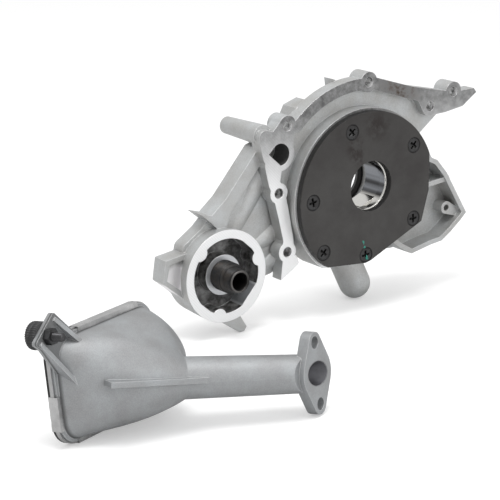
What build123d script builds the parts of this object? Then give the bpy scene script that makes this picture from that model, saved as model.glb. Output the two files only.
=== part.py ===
"""Crankshaft-driven engine oil pump with its oil filter head, and the pickup that feeds it.

Frame, in millimetres: the crank axis runs along Y through the origin, the gasket face that
meets the engine block is the plane Y = 0, the block lies on the -Y side, X is right as seen
from the block, and Z is up. The pump stands upright and the pickup stands beside it.
"""
import os
from math import acos, atan2, cos, degrees, hypot, pi, radians, sin

from build123d import *

os.makedirs("parts", exist_ok=True)

# ---------------------------------------------------------------- driving dimensions
# Levels along the crank axis.
PLATE_SEAT_Y = -6.0         # machined ring that the cover plate lies on
PLATE_T = 6.0               # cover plate
ROTOR_T = 13.9              # both rotors
ROTOR_END_GAP = 0.05        # between a rotor and each flat face beside it
PORT_DEPTH = 9.0            # kidney ports below the rotor pocket's floor
BODY_BACK_Y = 22.0          # back of the pump body
HUB_L = 13.0                # inner rotor's hub behind its teeth
SEAL_SEAT_Y = 26.0          # shoulder that the crank seal stops against
SEAL_BOSS_Y = 37.0          # front end of the seal boss
FLANGE_T = 12.0             # gasket flange
WEB_FRONT_Y = 7.0           # recessed web between flange and pump body
WEB_T = 5.0
PAST = 1.0                  # a cut runs past a face, and a boss into a wall, by this

# Rotor set: teeth of the inner rotor are the envelope of the outer rotor's round lobes.
INNER_TEETH = 9
ECCENTRICITY = 3.0          # outer rotor's axis lies this far below the crank axis
LOBE_PITCH_R = 40.0         # circle through the centres of the outer rotor's lobes
LOBE_R = 10.2
TIP_GAP = 0.10              # running clearance between the teeth
OUTER_ROTOR_R = 43.0
POCKET_GAP = 0.08           # radial clearance of the outer rotor in its pocket
BORE_R = 20.0               # inner rotor's bore on the crank
FLAT_R = 18.8               # distance of the two drive flats from the axis
FLAT_TURN = 25.0            # degrees, direction of the flats
FLAT_START_Y = 2.0          # the bore is round in front of this
FLAT_RELIEF = 0.4           # the arcs between the flats stand clear of the crank by this
HUB_R = 24.0
HUB_GAP = 0.06              # radial clearance of the hub in the housing

# Cover plate.
PLATE_C = (-2.0, -7.0)      # centre of its round edge
PLATE_R = 69.0
PLATE_CUTS = [(-90, -24), (-62.5, -48.2), (-43, -61.8), (-4.5, -64.2), (1.3, -62.7), (54.5, -37.2),
              (61.5, -11.8), (61.5, 90), (-90, 90)]     # the round plate is cut to this outline
CRANK_HOLE_R = 21.0
SEAT_MARGIN = 2.0           # housing shows this much round the plate
PLATE_SCREWS = [(-20.2, 47.0), (44.4, 28.7), (-58.7, -5.6), (45.7, -33.8), (-47.6, -48.8), (-4.1, -57.5)]
SCREW_R = 3.0               # M6 countersunk
SCREW_HEAD_R = 5.9
SCREW_L = 18.0
SCREW_SINK = 0.3            # heads lie this far below the plate's face
SCREW_GAP = 0.3             # clearance round the shank in the plate
SCREW_FIT = 0.05            # radial, of the shank in its thread and of the head in its sink
SCREW_END_GAP = 2.0         # tapped hole is deeper than the shank by this
CROSS_L, CROSS_W, CROSS_DEPTH = 6.4, 1.2, 2.2           # cross recess

# Gasket flange: bolt holes to the block, and the oil port to the main gallery.
BOLT_TOP, BOLT_RIGHT, BOLT_INNER = (5.4, 83.5), (96.4, 66.0), (71.0, 56.5)
BOLT_CORNER, BOLT_LEFT, BOLT_FOOT = (-76.0, 56.9), (-84.0, 3.3), (-75.3, -46.3)
BOLT_R = 4.2                # M8 clearance
BOLT_BOSS_R = 8.4
LONG_BOSS_Y = 16.0          # bosses that stand out behind the flange
RIM_R, RIM_W = 89.3, 9.8    # arched top strip: mean radius about the plate's centre, width
RIM_FROM, RIM_SPAN = 84, 136            # degrees
RIGHT_ARM = [(BOLT_TOP, 5.0), ((50, 70), 5.2), ((84, 61.5), 6.8)]       # points and half widths
RIGHT_ARM_EDGE = [(50, 74), (84, 68), (104, 66), (119, 66.7), (122, 63), (107, 52.6), (88, 49.5),
                  (72, 48.5), (64.3, 51.1), (57.1, 64.1)]
PORT_FACE = ((-85.5, 37.5), 14.5)       # face round the oil port, and its two arms
PORT_ARMS = [((-97.3, 49.8), 5.8), (BOLT_CORNER, 8.0)]
LEFT_STRIP = [((-89, 27), 8.5), ((-88.5, 12), 5.4), (BOLT_LEFT, 5.8), ((-78.8, -16.5), 5.4),
              ((-74.3, -37), 4.9), (BOLT_FOOT, 6.5)]
LEFT_STRIP_TOE = [(-79.5, -50), (-80.5, -58), (-81.6, -69), (-72.5, -63.5), (-63.7, -57.4), (-66.7, -50)]
BOLT_SLEEVE_T = 2.6         # round the two bolts that pass through the arm
WEB_EDGE = [(-76, -40), (-84, 4), (-86, 36), (-76, 57), (-52, 69), (-22, 80), (5, 82), (74, 62),
            (88, 50), (66, 33), (60, 20), (0, 0), (-50, -42)]
WEB_RIB_TURNS = (62, 88, 114, 146)      # degrees
WEB_RIB_MID_R, WEB_RIB_L, WEB_RIB_T, WEB_RIB_H = 56, 52, 4.2, 12
PORT_C = (-82.9, 34.6)      # D-shaped oil port: a round hole with one pointed side
PORT_R = 9.0
PORT_POINT = (-11.0, 1.4)   # its point, from the centre
PORT_UPPER, PORT_LOWER = (-4.2, 8.0), (0.8, -9.2)   # where the two straight sides end
PORT_L = 20.0
PORT_WALL, PORT_END_T = 4.5, 4.0

# Filter head.
FILTER_C = (-134.5, -56.5)
LAND_R = 38.0               # seal land of the spin-on filter
CUP_R = 30.5                # oil chamber behind the filter's inlet holes
CUP_DEPTH = 17.0
CUP_LOBE_R = 6.5
LOBE_ANGLES = (18.0, 138.0, 258.0)
HEAD_BACK_Y = 30.0
STUD_SEAT_R = 16.4          # machined boss that the filter nipple screws into
STUD_SEAT_Y = 5.0
NIPPLE_R = 9.525            # 3/4 inch thread
NIPPLE_SHANK_R = 9.2        # the end that is screwed into the filter head
NIPPLE_COLLAR_R = 12.3
NIPPLE_BORE_R = 7.2
NIPPLE_COLLAR_L = 13.0
NIPPLE_OUT = 24.0           # how far it stands out of its seat
NIPPLE_IN = 14.0
CUP_LOBE_OUT = 2.5          # lobes' centres lie this far outside the cup
CUP_ACROSS, CUP_TURN = 60, -41          # two flats cut the cup's round wall; degrees
HEAD_STEP, HEAD_DRAFT = 1.5, 2.2
NIPPLE_FIT = 0.03           # radial, in the housing's hole and in the filter
NIPPLE_HOLE_OVER = 6.0      # hole goes on past the nipple's end
ARM_FRONT_Y, ARM_WEB_Y, ARM_BACK_Y = 8.0, 13.5, 26.0
ARM_EDGE = [(-70, -60), (-66, 30), (-88, 44), (-99, 40), (-130, 3), (-143, -8), (-154, -5),
            (-144, -13), (-156, -25), (-160, -50), (-110, -72), (-82, -66)]
ARM_BORDER = [(-94, 46), (-99, 40), (-130, 3), (-143, -8), (-154, -5), (-144, -13), (-131, -26),
              (-125, -8), (-97, 26), (-90, 34)]
ARM_BORDER_T = 3.0          # lies this far over the arm's web
GALLERIES = [((-86, 21, 26), (-126, 26, -42), 12.0), ((-66, 21, -26), (-118, 26, -52), 11.5),
             ((-72, 17, -52), (-108, 26, -66), 8.5)]        # start, end, radius
SIDE_LUG = [(-156, -34), (-166, -35.5), (-184.5, -38.5), (-187, -56.5), (-166, -74), (-156, -78)]
SIDE_LUG_POCKET = [(-168, -40), (-181, -42.5), (-183.5, -55), (-169, -66)]
SIDE_LUG_Y, SIDE_LUG_T = 26, 16
SIDE_POCKET_Y, SIDE_POCKET_DEPTH = 14, 5
TOP_RIDGE = [((-160.5, -34), 6.5), ((-141.5, -21), 6.5)]
TOP_RIDGE_T = 13
FIN_EDGE = [(-139, -84), (-122, -88), (-112.5, -103), (-115, -106.6), (-119, -106.9), (-137, -95)]
FIN_Y, FIN_T = 8.5, 4.5
POST_C, POST_R, POST_Y, POST_L, POST_DRAFT = (-95.6, 50.7), 8.6, 6, 50, 1.8     # long boss
STRIP_LUG = [(-64, 60), (-60, 68), (-47, 72.5), (-41, 69), (-46, 58)]
STRIP_LUG_Y, STRIP_LUG_T = 28, 18
TOP_LUG = [(-22, 87), (-8, 79.5), (0, 82), (0, 74), (-20, 74)]
TOP_LUG_Y = 24
CORE_PLUG_R, CORE_PLUG_T = 13.0, 4.0
CORE_PLUG_FIT = 0.02        # radial
CORE_PLUG_SINK = 0.5        # it lies this far below the casting's face
CORE_PLUG_WALL = 1.6

# Relief valve: a straight bore across the back of the body, its blind end sticks out below.
RELIEF_TIP = (15.0, -93.4)  # centre of the rounded end
RELIEF_Y = 27.0
RELIEF_LEAN = 34.0          # degrees from vertical
RELIEF_BODY_R = 11.0
RELIEF_BORE_R = 7.0
RELIEF_L = 112.0            # rounded end's centre to the open end
RELIEF_BORE_L = 80.0
FINGER_R, FINGER_L, FINGER_LEAN = 13.5, 50.0, 27.0  # thicker casting round the blind end
FEED_R, FEED_REACH, FEED_ANGLE = 3.4, 37.4, 205.0   # hole from the delivery port to the bore
OUTLET_AT = 22.0            # outlet hole, from the bore's mouth
PISTON_GAP = 0.04
PISTON_L = 22.0
PISTON_WALL, PISTON_CROWN_T = 2.0, 7.0
PISTON_END_GAP = 0.3        # from the plug at rest
PISTON_TRAVEL = 9.0
PLUG_L = 14.0
PLUG_THREAD_L = 10.0
PLUG_HEAD_R, PLUG_HEAD_T, PLUG_NOSE_R = 8.5, 6, 4.0     # hexagon across flats / 2; stop for the piston
PLUG_FIT = 0.04             # radial
WASHER_MARGIN, WASHER_GAP = 0.8, 0.1
WASHER_T = 1.5
SPRING_WIRE_R = 0.8
SPRING_TURNS = 9
SPRING_SIDE_GAP, SPRING_END_GAP = 0.3, 0.1

# Suction side.
INLET_C = (50.0, 40.0)      # X and Y of the pickup's seat under the body
INLET_Z = -68.0
SUCTION_TURN = (50.0, 40.0, -24.0)      # passage turns here, from up the neck
SUCTION_END = (33.0, 17.0, -12.0)       # to the floor of the suction port
INLET_R, INLET_WALL = 8.2, 5.0
PAD_SCREW_R, PAD_SCREW_L = 3.4, 19.0    # tapped holes for the pickup's bolts
PAD_T = 10.0
FLANGE_HOLE_REACH = 22.2    # pickup bolt holes from the bore, also in the pickup's flange
FLANGE_END_R = 7.6
FLANGE_MID_R = 17.0

# Lower right bracket.
TRAY_FRONT_Y, TRAY_BACK_Y = 6.0, 28.0
TRAY_WALL, TRAY_FLOOR_T = 4.0, 5.0
TRAY_EDGE = [(50, 34), (64, 36), (79.5, 10.4), (86, 7.5), (97, -4.9), (120.4, -43.1), (114.4, -49),
             (103.2, -58), (93.3, -64.5), (82, -66), (60, -70.7), (46.6, -63.3), (30, -50), (30, 20)]
TRAY_RIB = [(52, -14.5), (101, -8.5), (103, -12.5), (52, -18.5)]
TRAY_RIB_DROP = 2.0         # the rib stops this far below the tray's front edge
TRAY_BOSS, TRAY_BOSS_R, TRAY_BOSS_Y = (102.0, -37.5), 5.5, 11.0
TRAY_BOSS_FOOT = ((112, -42), 4.0)      # where its rib meets the tray's wall, and half its width
TRAY_SCREW_R, TRAY_SCREW_L = 2.8, 8.0

# Crank seal.
SEAL_R = 29.0
SEAL_BOSS_WALL, SEAL_BOSS_DRAFT = 6.5, 3
SEAL_T = 10.0
SEAL_WALL = 1.2
SEAL_FIT = 0.02             # radial, of the case in its bore
SEAL_SEAT_GAP = 0.2
SEAL_MOUTH_R = 23.0         # opening of the case
LIP_R = 18.8
LIP_GAP = 0.1               # between the rubber and the case
LIP_SECTION = [(21.5, 0), (20.4, 2.5), (LIP_R, 6), (20.2, 9), (22.2, 9), (22.3, 6.5), (21.6, 4.5),
               (23.5, 2.8), (27.7, 2.8)]        # radius, and depth from the seal's outer face
GARTER_AT, GARTER_WIRE_R = (23.3, 7.6), 0.9     # spring behind the lip, placed the same way

# Pickup, built in its own frame: x along the long side of its mouth, y up its short side,
# z from the strainer towards the mounting flange.
PICKUP_AT = (-310.9, -105.9, -68.6)
PICKUP_TURN = 22.0          # degrees about the vertical
PICKUP_TILT = 7.0           # degrees, mouth leans back
MOUTH_W, MOUTH_H, MOUTH_CORNER_R = 114.0, 77.0, 17.0
FRAME_LAP = 4.5             # sheet frame's lip over the mouth
FRAME_T = 1.0               # also the screen's thickness
FRAME_GAP = 0.1
RIM_STEP = 3.0              # the bell starts this far inside its rim
SCREEN_PITCH, SCREEN_HOLE = 9.0, 6.5
SCREEN_COLUMNS, SCREEN_ROWS = 11, 7
CAST_WALL = 3.5
MOUTH_RIM_T = 5.0
SHOULDER_Z, SHOULDER_C = 30.0, (8.0, -2.0)
SHOULDER_W, SHOULDER_H, SHOULDER_R = 88.0, 60.0, 26.0
NECK_AT = (26.3, -9.6, 50.0)
NECK_R = 14.8
TUBE_TAPER = 0.8            # degrees
TUBE_BORE_R = 8.6
PICK_FLANGE_C = (94.4, -21.8)
PICK_FLANGE_Z = 115.0
PICK_FLANGE_T = 8.0
PICK_FLANGE_MID_R = 18.0
PICK_HOLE_R = 4.5
FOOT_AT = (-59.5, 41.0)     # foot that keeps the mouth off the sump
FOOT_R, FOOT_L = 9.7, 9.0
EAR_Z, EAR_T = 4.0, 4.0
EAR_EDGE = [(-69.7, 38.6), (-47.5, 20), (-26.7, 28), (-51.5, 52.7)]
EAR_ROUND = 2.0
GUSSETS = [((-52.0, 51.0), (-23, 17)), ((-68.0, 38.0), (-39, -5))]      # from the ear up to the bell
GUSSET_T, GUSSET_TOP_Z = 3.0, 20.0
RIB_START, RIB_END = (-36.0, 4.0, 31.0), (48.0, -13.6, 69.0)    # top of the parting rib
RIB_W, RIB_H = 4.0, 10.0
STUD_R, STUD_L = 3.0, 22.0
STUD_DEPTH = 5.0            # stud's end inside the foot
STUD_FIT, EAR_HOLE_GAP = 0.02, 0.05     # radial
NUT_R, NUT_T = 5.0, 5.0

# Sizes worked out from those above.
OUTER_TEETH = INNER_TEETH + 1
POCKET_FLOOR_Y = PLATE_SEAT_Y + ROTOR_T + 2 * ROTOR_END_GAP
PLATE_FACE_Y = PLATE_SEAT_Y - PLATE_T
POCKET_R = OUTER_ROTOR_R + POCKET_GAP
TOOTH_TIP_R = LOBE_PITCH_R + ECCENTRICITY - LOBE_R
ROTOR_C = (0.0, -ECCENTRICITY)
WEB_BACK_Y = WEB_FRONT_Y + WEB_T


def at_y(y):
    """Sketch plane across the crank: sketch x is X, sketch y is Z, extrusions go towards -Y."""
    return Plane.XZ.offset(-y)


def polar(centre, radius, angle):
    """Point at an angle in degrees round a centre."""
    return (centre[0] + radius * cos(radians(angle)), centre[1] + radius * sin(radians(angle)))


def link(p, rp, q, rq):
    """Two round ends and the straight flanks that touch both, in the open sketch."""
    reach = hypot(q[0] - p[0], q[1] - p[1])
    lie = degrees(atan2(q[1] - p[1], q[0] - p[0]))
    spread = degrees(acos((rp - rq) / reach))
    with Locations(p):
        Circle(rp)
    with Locations(q):
        Circle(rq)
    Polygon(
        polar(p, rp, lie - spread), polar(q, rq, lie - spread),
        polar(q, rq, lie + spread), polar(p, rp, lie + spread), align=None,
    )


def chain(stops):
    """Straight bars with round ends through a list of points and half widths."""
    for (a, a_r), (b, b_r) in zip(stops, stops[1:]):
        link(a, a_r, b, b_r)


def plate_outline():
    """Round plate with a flat right side and a cut-off lower corner, in the open sketch."""
    with Locations(PLATE_C):
        Circle(PLATE_R)
    Polygon(*PLATE_CUTS, align=None, mode=Mode.INTERSECT)


def kidney(start, size):
    """Port along the rotor chambers, from a start angle over a size in degrees."""
    mid_r = TOOTH_TIP_R - ECCENTRICITY + 2.0
    path = Edge.make_circle(mid_r, Plane((0, -ECCENTRICITY / 2, 0)), start, start + size)
    SlotArc(path, 2.6 * ECCENTRICITY)


# ---------------------------------------------------------------- lower right bracket
with BuildPart() as bracket:
    # An open tray with a thin wall, cast in one piece with the pump housing.
    with BuildSketch(at_y(TRAY_BACK_Y)) as tray:
        Polygon(*TRAY_EDGE, align=None)
    extrude(amount=TRAY_BACK_Y - TRAY_FRONT_Y)
    with BuildSketch(at_y(TRAY_BACK_Y - TRAY_FLOOR_T)):
        add(tray.sketch)
        offset(amount=-TRAY_WALL, mode=Mode.REPLACE)
    extrude(amount=TRAY_BACK_Y - TRAY_FRONT_Y, mode=Mode.SUBTRACT)
    # Cross rib and a blind screw boss inside it.
    with BuildSketch(at_y(TRAY_BACK_Y)):
        Polygon(*TRAY_RIB, align=None)
    extrude(amount=TRAY_BACK_Y - TRAY_FRONT_Y - TRAY_RIB_DROP)
    with BuildSketch(at_y(TRAY_BACK_Y)):
        chain([(TRAY_BOSS, TRAY_BOSS_R), TRAY_BOSS_FOOT])
    extrude(amount=TRAY_BACK_Y - TRAY_BOSS_Y)
    with BuildSketch(at_y(TRAY_BOSS_Y + TRAY_SCREW_L)):
        with Locations(TRAY_BOSS):
            Circle(TRAY_SCREW_R)
    extrude(amount=TRAY_SCREW_L + PAST, mode=Mode.SUBTRACT)


# ---------------------------------------------------------------- pump housing
suction_run = Vector(*SUCTION_END) - Vector(*SUCTION_TURN)

with BuildPart() as housing:
    # Pump body, and the boss that holds the crank seal.
    with BuildSketch(at_y(BODY_BACK_Y)):
        plate_outline()
        offset(amount=SEAT_MARGIN)
    extrude(amount=BODY_BACK_Y - PLATE_SEAT_Y)
    with BuildSketch(at_y(SEAL_BOSS_Y)):
        Circle(SEAL_R + SEAL_BOSS_WALL)
    extrude(amount=SEAL_BOSS_Y - BODY_BACK_Y + PAST, taper=-SEAL_BOSS_DRAFT)

    # Gasket flange: arched strip, right-hand arm, left-hand strip with the oil port.
    with BuildSketch(at_y(FLANGE_T)):
        SlotArc(Edge.make_circle(RIM_R, Plane((*PLATE_C, 0)), RIM_FROM, RIM_SPAN), RIM_W)
        chain(RIGHT_ARM)
        Polygon(*RIGHT_ARM_EDGE, align=None)
        with Locations(BOLT_TOP, BOLT_RIGHT, BOLT_INNER, BOLT_CORNER, BOLT_LEFT, BOLT_FOOT):
            Circle(BOLT_BOSS_R)
        for end in PORT_ARMS:
            chain([PORT_FACE, end])
        chain(LEFT_STRIP)
        Polygon(*LEFT_STRIP_TOE, align=None)
    extrude(amount=FLANGE_T)
    with BuildSketch(at_y(LONG_BOSS_Y)):
        with Locations(BOLT_TOP, BOLT_RIGHT, BOLT_CORNER):
            Circle(BOLT_BOSS_R)
    extrude(amount=LONG_BOSS_Y)
    with BuildSketch(at_y(ARM_BACK_Y)):
        with Locations(BOLT_LEFT, BOLT_FOOT):
            Circle(BOLT_R + BOLT_SLEEVE_T)
    extrude(amount=ARM_BACK_Y)
    with BuildSketch(at_y(PORT_L + PORT_END_T)):
        with Locations(PORT_C):
            Circle(PORT_R + PORT_WALL)
    extrude(amount=PORT_L + PORT_END_T)

    # Recessed web between the flange and the body.
    with BuildSketch(at_y(WEB_BACK_Y)):
        Polygon(*WEB_EDGE, align=None)
    extrude(amount=WEB_T)

    # Ribs behind the web, from the seal boss to the flange.
    for turn in WEB_RIB_TURNS:
        with BuildSketch(Plane.XZ.offset(-FLANGE_T + PAST)):
            with Locations(Rotation(0, 0, turn)):
                with Locations((WEB_RIB_MID_R, 0)):
                    Rectangle(WEB_RIB_L, WEB_RIB_T)
        extrude(amount=-WEB_RIB_H, taper=4)

    # Arm to the filter head: a web with a raised border along its upper edge.
    with BuildSketch(at_y(ARM_BACK_Y)):
        Polygon(*ARM_EDGE, align=None)
    extrude(amount=ARM_BACK_Y - ARM_WEB_Y)
    with BuildSketch(at_y(ARM_WEB_Y + ARM_BORDER_T)):
        Polygon(*ARM_BORDER, align=None)
    extrude(amount=ARM_WEB_Y + ARM_BORDER_T - ARM_FRONT_Y)

    # Oil galleries: round-backed channels cast into the arm.
    for start, end, r in GALLERIES:
        run = Vector(*end) - Vector(*start)
        with Locations(Plane(start, z_dir=run)):
            Cylinder(r, run.length, align=(Align.CENTER, Align.CENTER, Align.MIN))
        with Locations(start, end):
            Sphere(r)

    # Filter head.
    with BuildSketch(at_y(HEAD_BACK_Y)):
        with Locations(FILTER_C):
            Circle(LAND_R - HEAD_STEP)
    extrude(amount=HEAD_BACK_Y, taper=-HEAD_DRAFT)
    with BuildSketch(at_y(SIDE_LUG_Y)):
        Polygon(*SIDE_LUG, align=None)
    extrude(amount=SIDE_LUG_T)
    with BuildSketch(at_y(SIDE_POCKET_Y)):
        Polygon(*SIDE_LUG_POCKET, align=None)
    extrude(amount=SIDE_POCKET_DEPTH, mode=Mode.SUBTRACT)
    with BuildSketch(at_y(SIDE_LUG_Y)):
        chain(TOP_RIDGE)
    extrude(amount=TOP_RIDGE_T)
    with BuildSketch(at_y(FIN_Y)):
        Polygon(*FIN_EDGE, align=None)
    extrude(amount=FIN_T)

    # Long tapered boss at the upper left corner.
    with BuildSketch(at_y(POST_Y)):
        with Locations(POST_C):
            Circle(POST_R)
    extrude(amount=-POST_L, taper=POST_DRAFT)

    # Lugs behind the arched strip.
    with BuildSketch(at_y(STRIP_LUG_Y)):
        Polygon(*STRIP_LUG, align=None)
    extrude(amount=STRIP_LUG_T)
    with BuildSketch(at_y(TOP_LUG_Y)):
        Polygon(*TOP_LUG, align=None)
    extrude(amount=TOP_LUG_Y - FLANGE_T + PAST)

    # Suction neck and the pad that the pickup bolts to.
    with BuildSketch(Plane.XY.offset(INLET_Z)):
        link((INLET_C[0] - FLANGE_HOLE_REACH, INLET_C[1]), FLANGE_END_R, INLET_C, FLANGE_MID_R)
        link(INLET_C, FLANGE_MID_R, (INLET_C[0] + FLANGE_HOLE_REACH, INLET_C[1]), FLANGE_END_R)
    extrude(amount=PAD_T)
    with BuildSketch(Plane.XY.offset(INLET_Z)):
        with Locations(INLET_C):
            Circle(INLET_R + INLET_WALL)
        with Locations((INLET_C[0] - FLANGE_HOLE_REACH, INLET_C[1]),
                       (INLET_C[0] + FLANGE_HOLE_REACH, INLET_C[1])):
            Circle(FLANGE_END_R)
    extrude(amount=SUCTION_TURN[2] - INLET_Z)
    with Locations(SUCTION_TURN):
        Sphere(INLET_R + INLET_WALL)
    with Locations(Plane(SUCTION_TURN, z_dir=suction_run)):
        Cylinder(INLET_R + INLET_WALL, suction_run.length, align=(Align.CENTER, Align.CENTER, Align.MIN))

    # Lower right bracket: an open tray with a thin wall.
    add(bracket.part)

    # Relief valve body.
    relief_mouth = polar(RELIEF_TIP, RELIEF_L, 90 + RELIEF_LEAN)
    relief_dir = Vector(RELIEF_TIP[0] - relief_mouth[0], 0, RELIEF_TIP[1] - relief_mouth[1])
    relief_plane = Plane((relief_mouth[0], RELIEF_Y, relief_mouth[1]), z_dir=relief_dir)
    with Locations(relief_plane):
        Cylinder(RELIEF_BODY_R, RELIEF_L, align=(Align.CENTER, Align.CENTER, Align.MIN))
    finger_top = polar(RELIEF_TIP, FINGER_L, 90 + FINGER_LEAN)
    finger_dir = Vector(RELIEF_TIP[0] - finger_top[0], 0, RELIEF_TIP[1] - finger_top[1])
    with Locations(Plane((finger_top[0], RELIEF_Y, finger_top[1]), z_dir=finger_dir)):
        Cylinder(FINGER_R, FINGER_L, align=(Align.CENTER, Align.CENTER, Align.MIN))
    with Locations((RELIEF_TIP[0], RELIEF_Y, RELIEF_TIP[1])):
        Sphere(FINGER_R)

    # Rotor pocket, ports, hub bore, crank passage and seal bore.
    with BuildSketch(at_y(POCKET_FLOOR_Y)):
        with Locations(ROTOR_C):
            Circle(POCKET_R)
    extrude(amount=POCKET_FLOOR_Y - PLATE_FACE_Y, mode=Mode.SUBTRACT)
    with BuildSketch(at_y(POCKET_FLOOR_Y + PORT_DEPTH)):
        kidney(-68, 136)
        kidney(112, 136)
    extrude(amount=PORT_DEPTH + PAST, mode=Mode.SUBTRACT)
    with BuildSketch(at_y(POCKET_FLOOR_Y + HUB_L + 0.5)):
        Circle(HUB_R + HUB_GAP)
    extrude(amount=HUB_L + 2, mode=Mode.SUBTRACT)
    with BuildSketch(at_y(SEAL_BOSS_Y + PAST)):
        Circle(CRANK_HOLE_R + 1)
    extrude(amount=SEAL_BOSS_Y, mode=Mode.SUBTRACT)
    with BuildSketch(at_y(SEAL_BOSS_Y + PAST)):
        Circle(SEAL_R)
    extrude(amount=SEAL_BOSS_Y + PAST - SEAL_SEAT_Y, mode=Mode.SUBTRACT)

    # Bolt holes through the flange, screw holes in the seat.
    with BuildSketch(at_y(LONG_BOSS_Y + 20)):
        with Locations(BOLT_TOP, BOLT_RIGHT, BOLT_INNER, BOLT_CORNER, BOLT_LEFT, BOLT_FOOT):
            Circle(BOLT_R)
    extrude(amount=LONG_BOSS_Y + 22, mode=Mode.SUBTRACT)
    with BuildSketch(at_y(PLATE_FACE_Y + SCREW_L + 1)):
        with Locations(*PLATE_SCREWS):
            Circle(SCREW_R)
    extrude(amount=SCREW_L, mode=Mode.SUBTRACT)

    # D-shaped oil port.
    with BuildSketch(at_y(PORT_L)):
        with Locations(PORT_C):
            Circle(PORT_R)
            Polygon(PORT_POINT, PORT_LOWER, (2 * PORT_R, -PORT_R), (2 * PORT_R, 2 * PORT_R),
                    PORT_UPPER, align=None, mode=Mode.INTERSECT)
            Polygon(PORT_POINT, PORT_LOWER, (0, 0), PORT_UPPER, align=None)
    extrude(amount=PORT_L + PAST, mode=Mode.SUBTRACT)

    # Filter cup: three lobes stay on its wall, and the nipple's boss stays in its middle.
    with BuildSketch(at_y(CUP_DEPTH)):
        with Locations(FILTER_C):
            Circle(CUP_R)
        with Locations(FILTER_C):
            Rectangle(CUP_ACROSS, CUP_ACROSS, rotation=CUP_TURN, mode=Mode.INTERSECT)
        with Locations(*[polar(FILTER_C, CUP_R + CUP_LOBE_OUT, a) for a in LOBE_ANGLES]):
            Circle(CUP_LOBE_R, mode=Mode.SUBTRACT)
    extrude(amount=CUP_DEPTH + PAST, mode=Mode.SUBTRACT)
    with BuildSketch(at_y(CUP_DEPTH + PAST)):
        with Locations(FILTER_C):
            Circle(STUD_SEAT_R)
    extrude(amount=CUP_DEPTH + PAST - STUD_SEAT_Y)
    with BuildSketch(at_y(STUD_SEAT_Y + NIPPLE_IN + NIPPLE_HOLE_OVER)):
        with Locations(FILTER_C):
            Circle(NIPPLE_SHANK_R + NIPPLE_FIT)
    extrude(amount=NIPPLE_IN + NIPPLE_HOLE_OVER + PAST, mode=Mode.SUBTRACT)

    # Relief bore, its feed from the delivery port and its outlet, and the suction passage.
    with Locations(relief_plane):
        Cylinder(RELIEF_BORE_R, RELIEF_BORE_L + PAST, mode=Mode.SUBTRACT,
                 align=(Align.CENTER, Align.CENTER, Align.MIN))
    with Locations(relief_plane.offset(-10)):
        Cylinder(RELIEF_BODY_R, 10, mode=Mode.SUBTRACT, align=(Align.CENTER, Align.CENTER, Align.MIN))
    with BuildSketch(at_y(RELIEF_Y)):
        with Locations(polar((0, 0), FEED_REACH, FEED_ANGLE)):
            Circle(FEED_R)
    extrude(amount=RELIEF_Y - POCKET_FLOOR_Y + PAST, mode=Mode.SUBTRACT)
    with BuildSketch(at_y(RELIEF_Y + RELIEF_BODY_R + PAST)):
        with Locations(polar(relief_mouth, OUTLET_AT, RELIEF_LEAN - 90)):
            Circle(FEED_R)
    extrude(amount=RELIEF_BODY_R + PAST, mode=Mode.SUBTRACT)
    with BuildSketch(Plane.XY.offset(INLET_Z - PAST)):
        with Locations(INLET_C):
            Circle(INLET_R)
    extrude(amount=SUCTION_TURN[2] - INLET_Z + PAST, mode=Mode.SUBTRACT)
    with Locations(SUCTION_TURN):
        Sphere(INLET_R, mode=Mode.SUBTRACT)
    with Locations(Plane(SUCTION_TURN, z_dir=suction_run)):
        Cylinder(INLET_R, suction_run.length, mode=Mode.SUBTRACT,
                 align=(Align.CENTER, Align.CENTER, Align.MIN))
    with BuildSketch(Plane.XY.offset(INLET_Z - PAST)):
        with Locations((INLET_C[0] - FLANGE_HOLE_REACH, INLET_C[1]),
                       (INLET_C[0] + FLANGE_HOLE_REACH, INLET_C[1])):
            Circle(PAD_SCREW_R)
    extrude(amount=PAD_SCREW_L + PAST, mode=Mode.SUBTRACT)
    # Seat of the core plug behind the filter head.
    with BuildSketch(at_y(HEAD_BACK_Y + PAST)):
        with Locations(FILTER_C):
            Circle(CORE_PLUG_R)
    extrude(amount=CORE_PLUG_T + PAST, mode=Mode.SUBTRACT)
housing.part.label = "pump_housing"


# ---------------------------------------------------------------- rotor set
def tooth_points():
    """Inner rotor's edge: the path of a lobe's centre, moved in by the lobe's radius."""
    points = []
    steps = 14 * INNER_TEETH
    for i in range(steps):
        turned = 2 * pi * i / steps
        # Steps are closest in the valleys, where the edge turns most.
        u = turned - 0.9 / INNER_TEETH * sin(INNER_TEETH * turned - pi / 2)
        v = OUTER_TEETH * u + pi / 2
        path = Vector(LOBE_PITCH_R * cos(u) + ECCENTRICITY * cos(v),
                      LOBE_PITCH_R * sin(u) + ECCENTRICITY * sin(v))
        outward = Vector(LOBE_PITCH_R * cos(u) + OUTER_TEETH * ECCENTRICITY * cos(v),
                         LOBE_PITCH_R * sin(u) + OUTER_TEETH * ECCENTRICITY * sin(v)).normalized()
        points.append(path - outward * (LOBE_R + TIP_GAP))
    return points


ROTOR_BACK_Y = POCKET_FLOOR_Y - ROTOR_END_GAP

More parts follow.
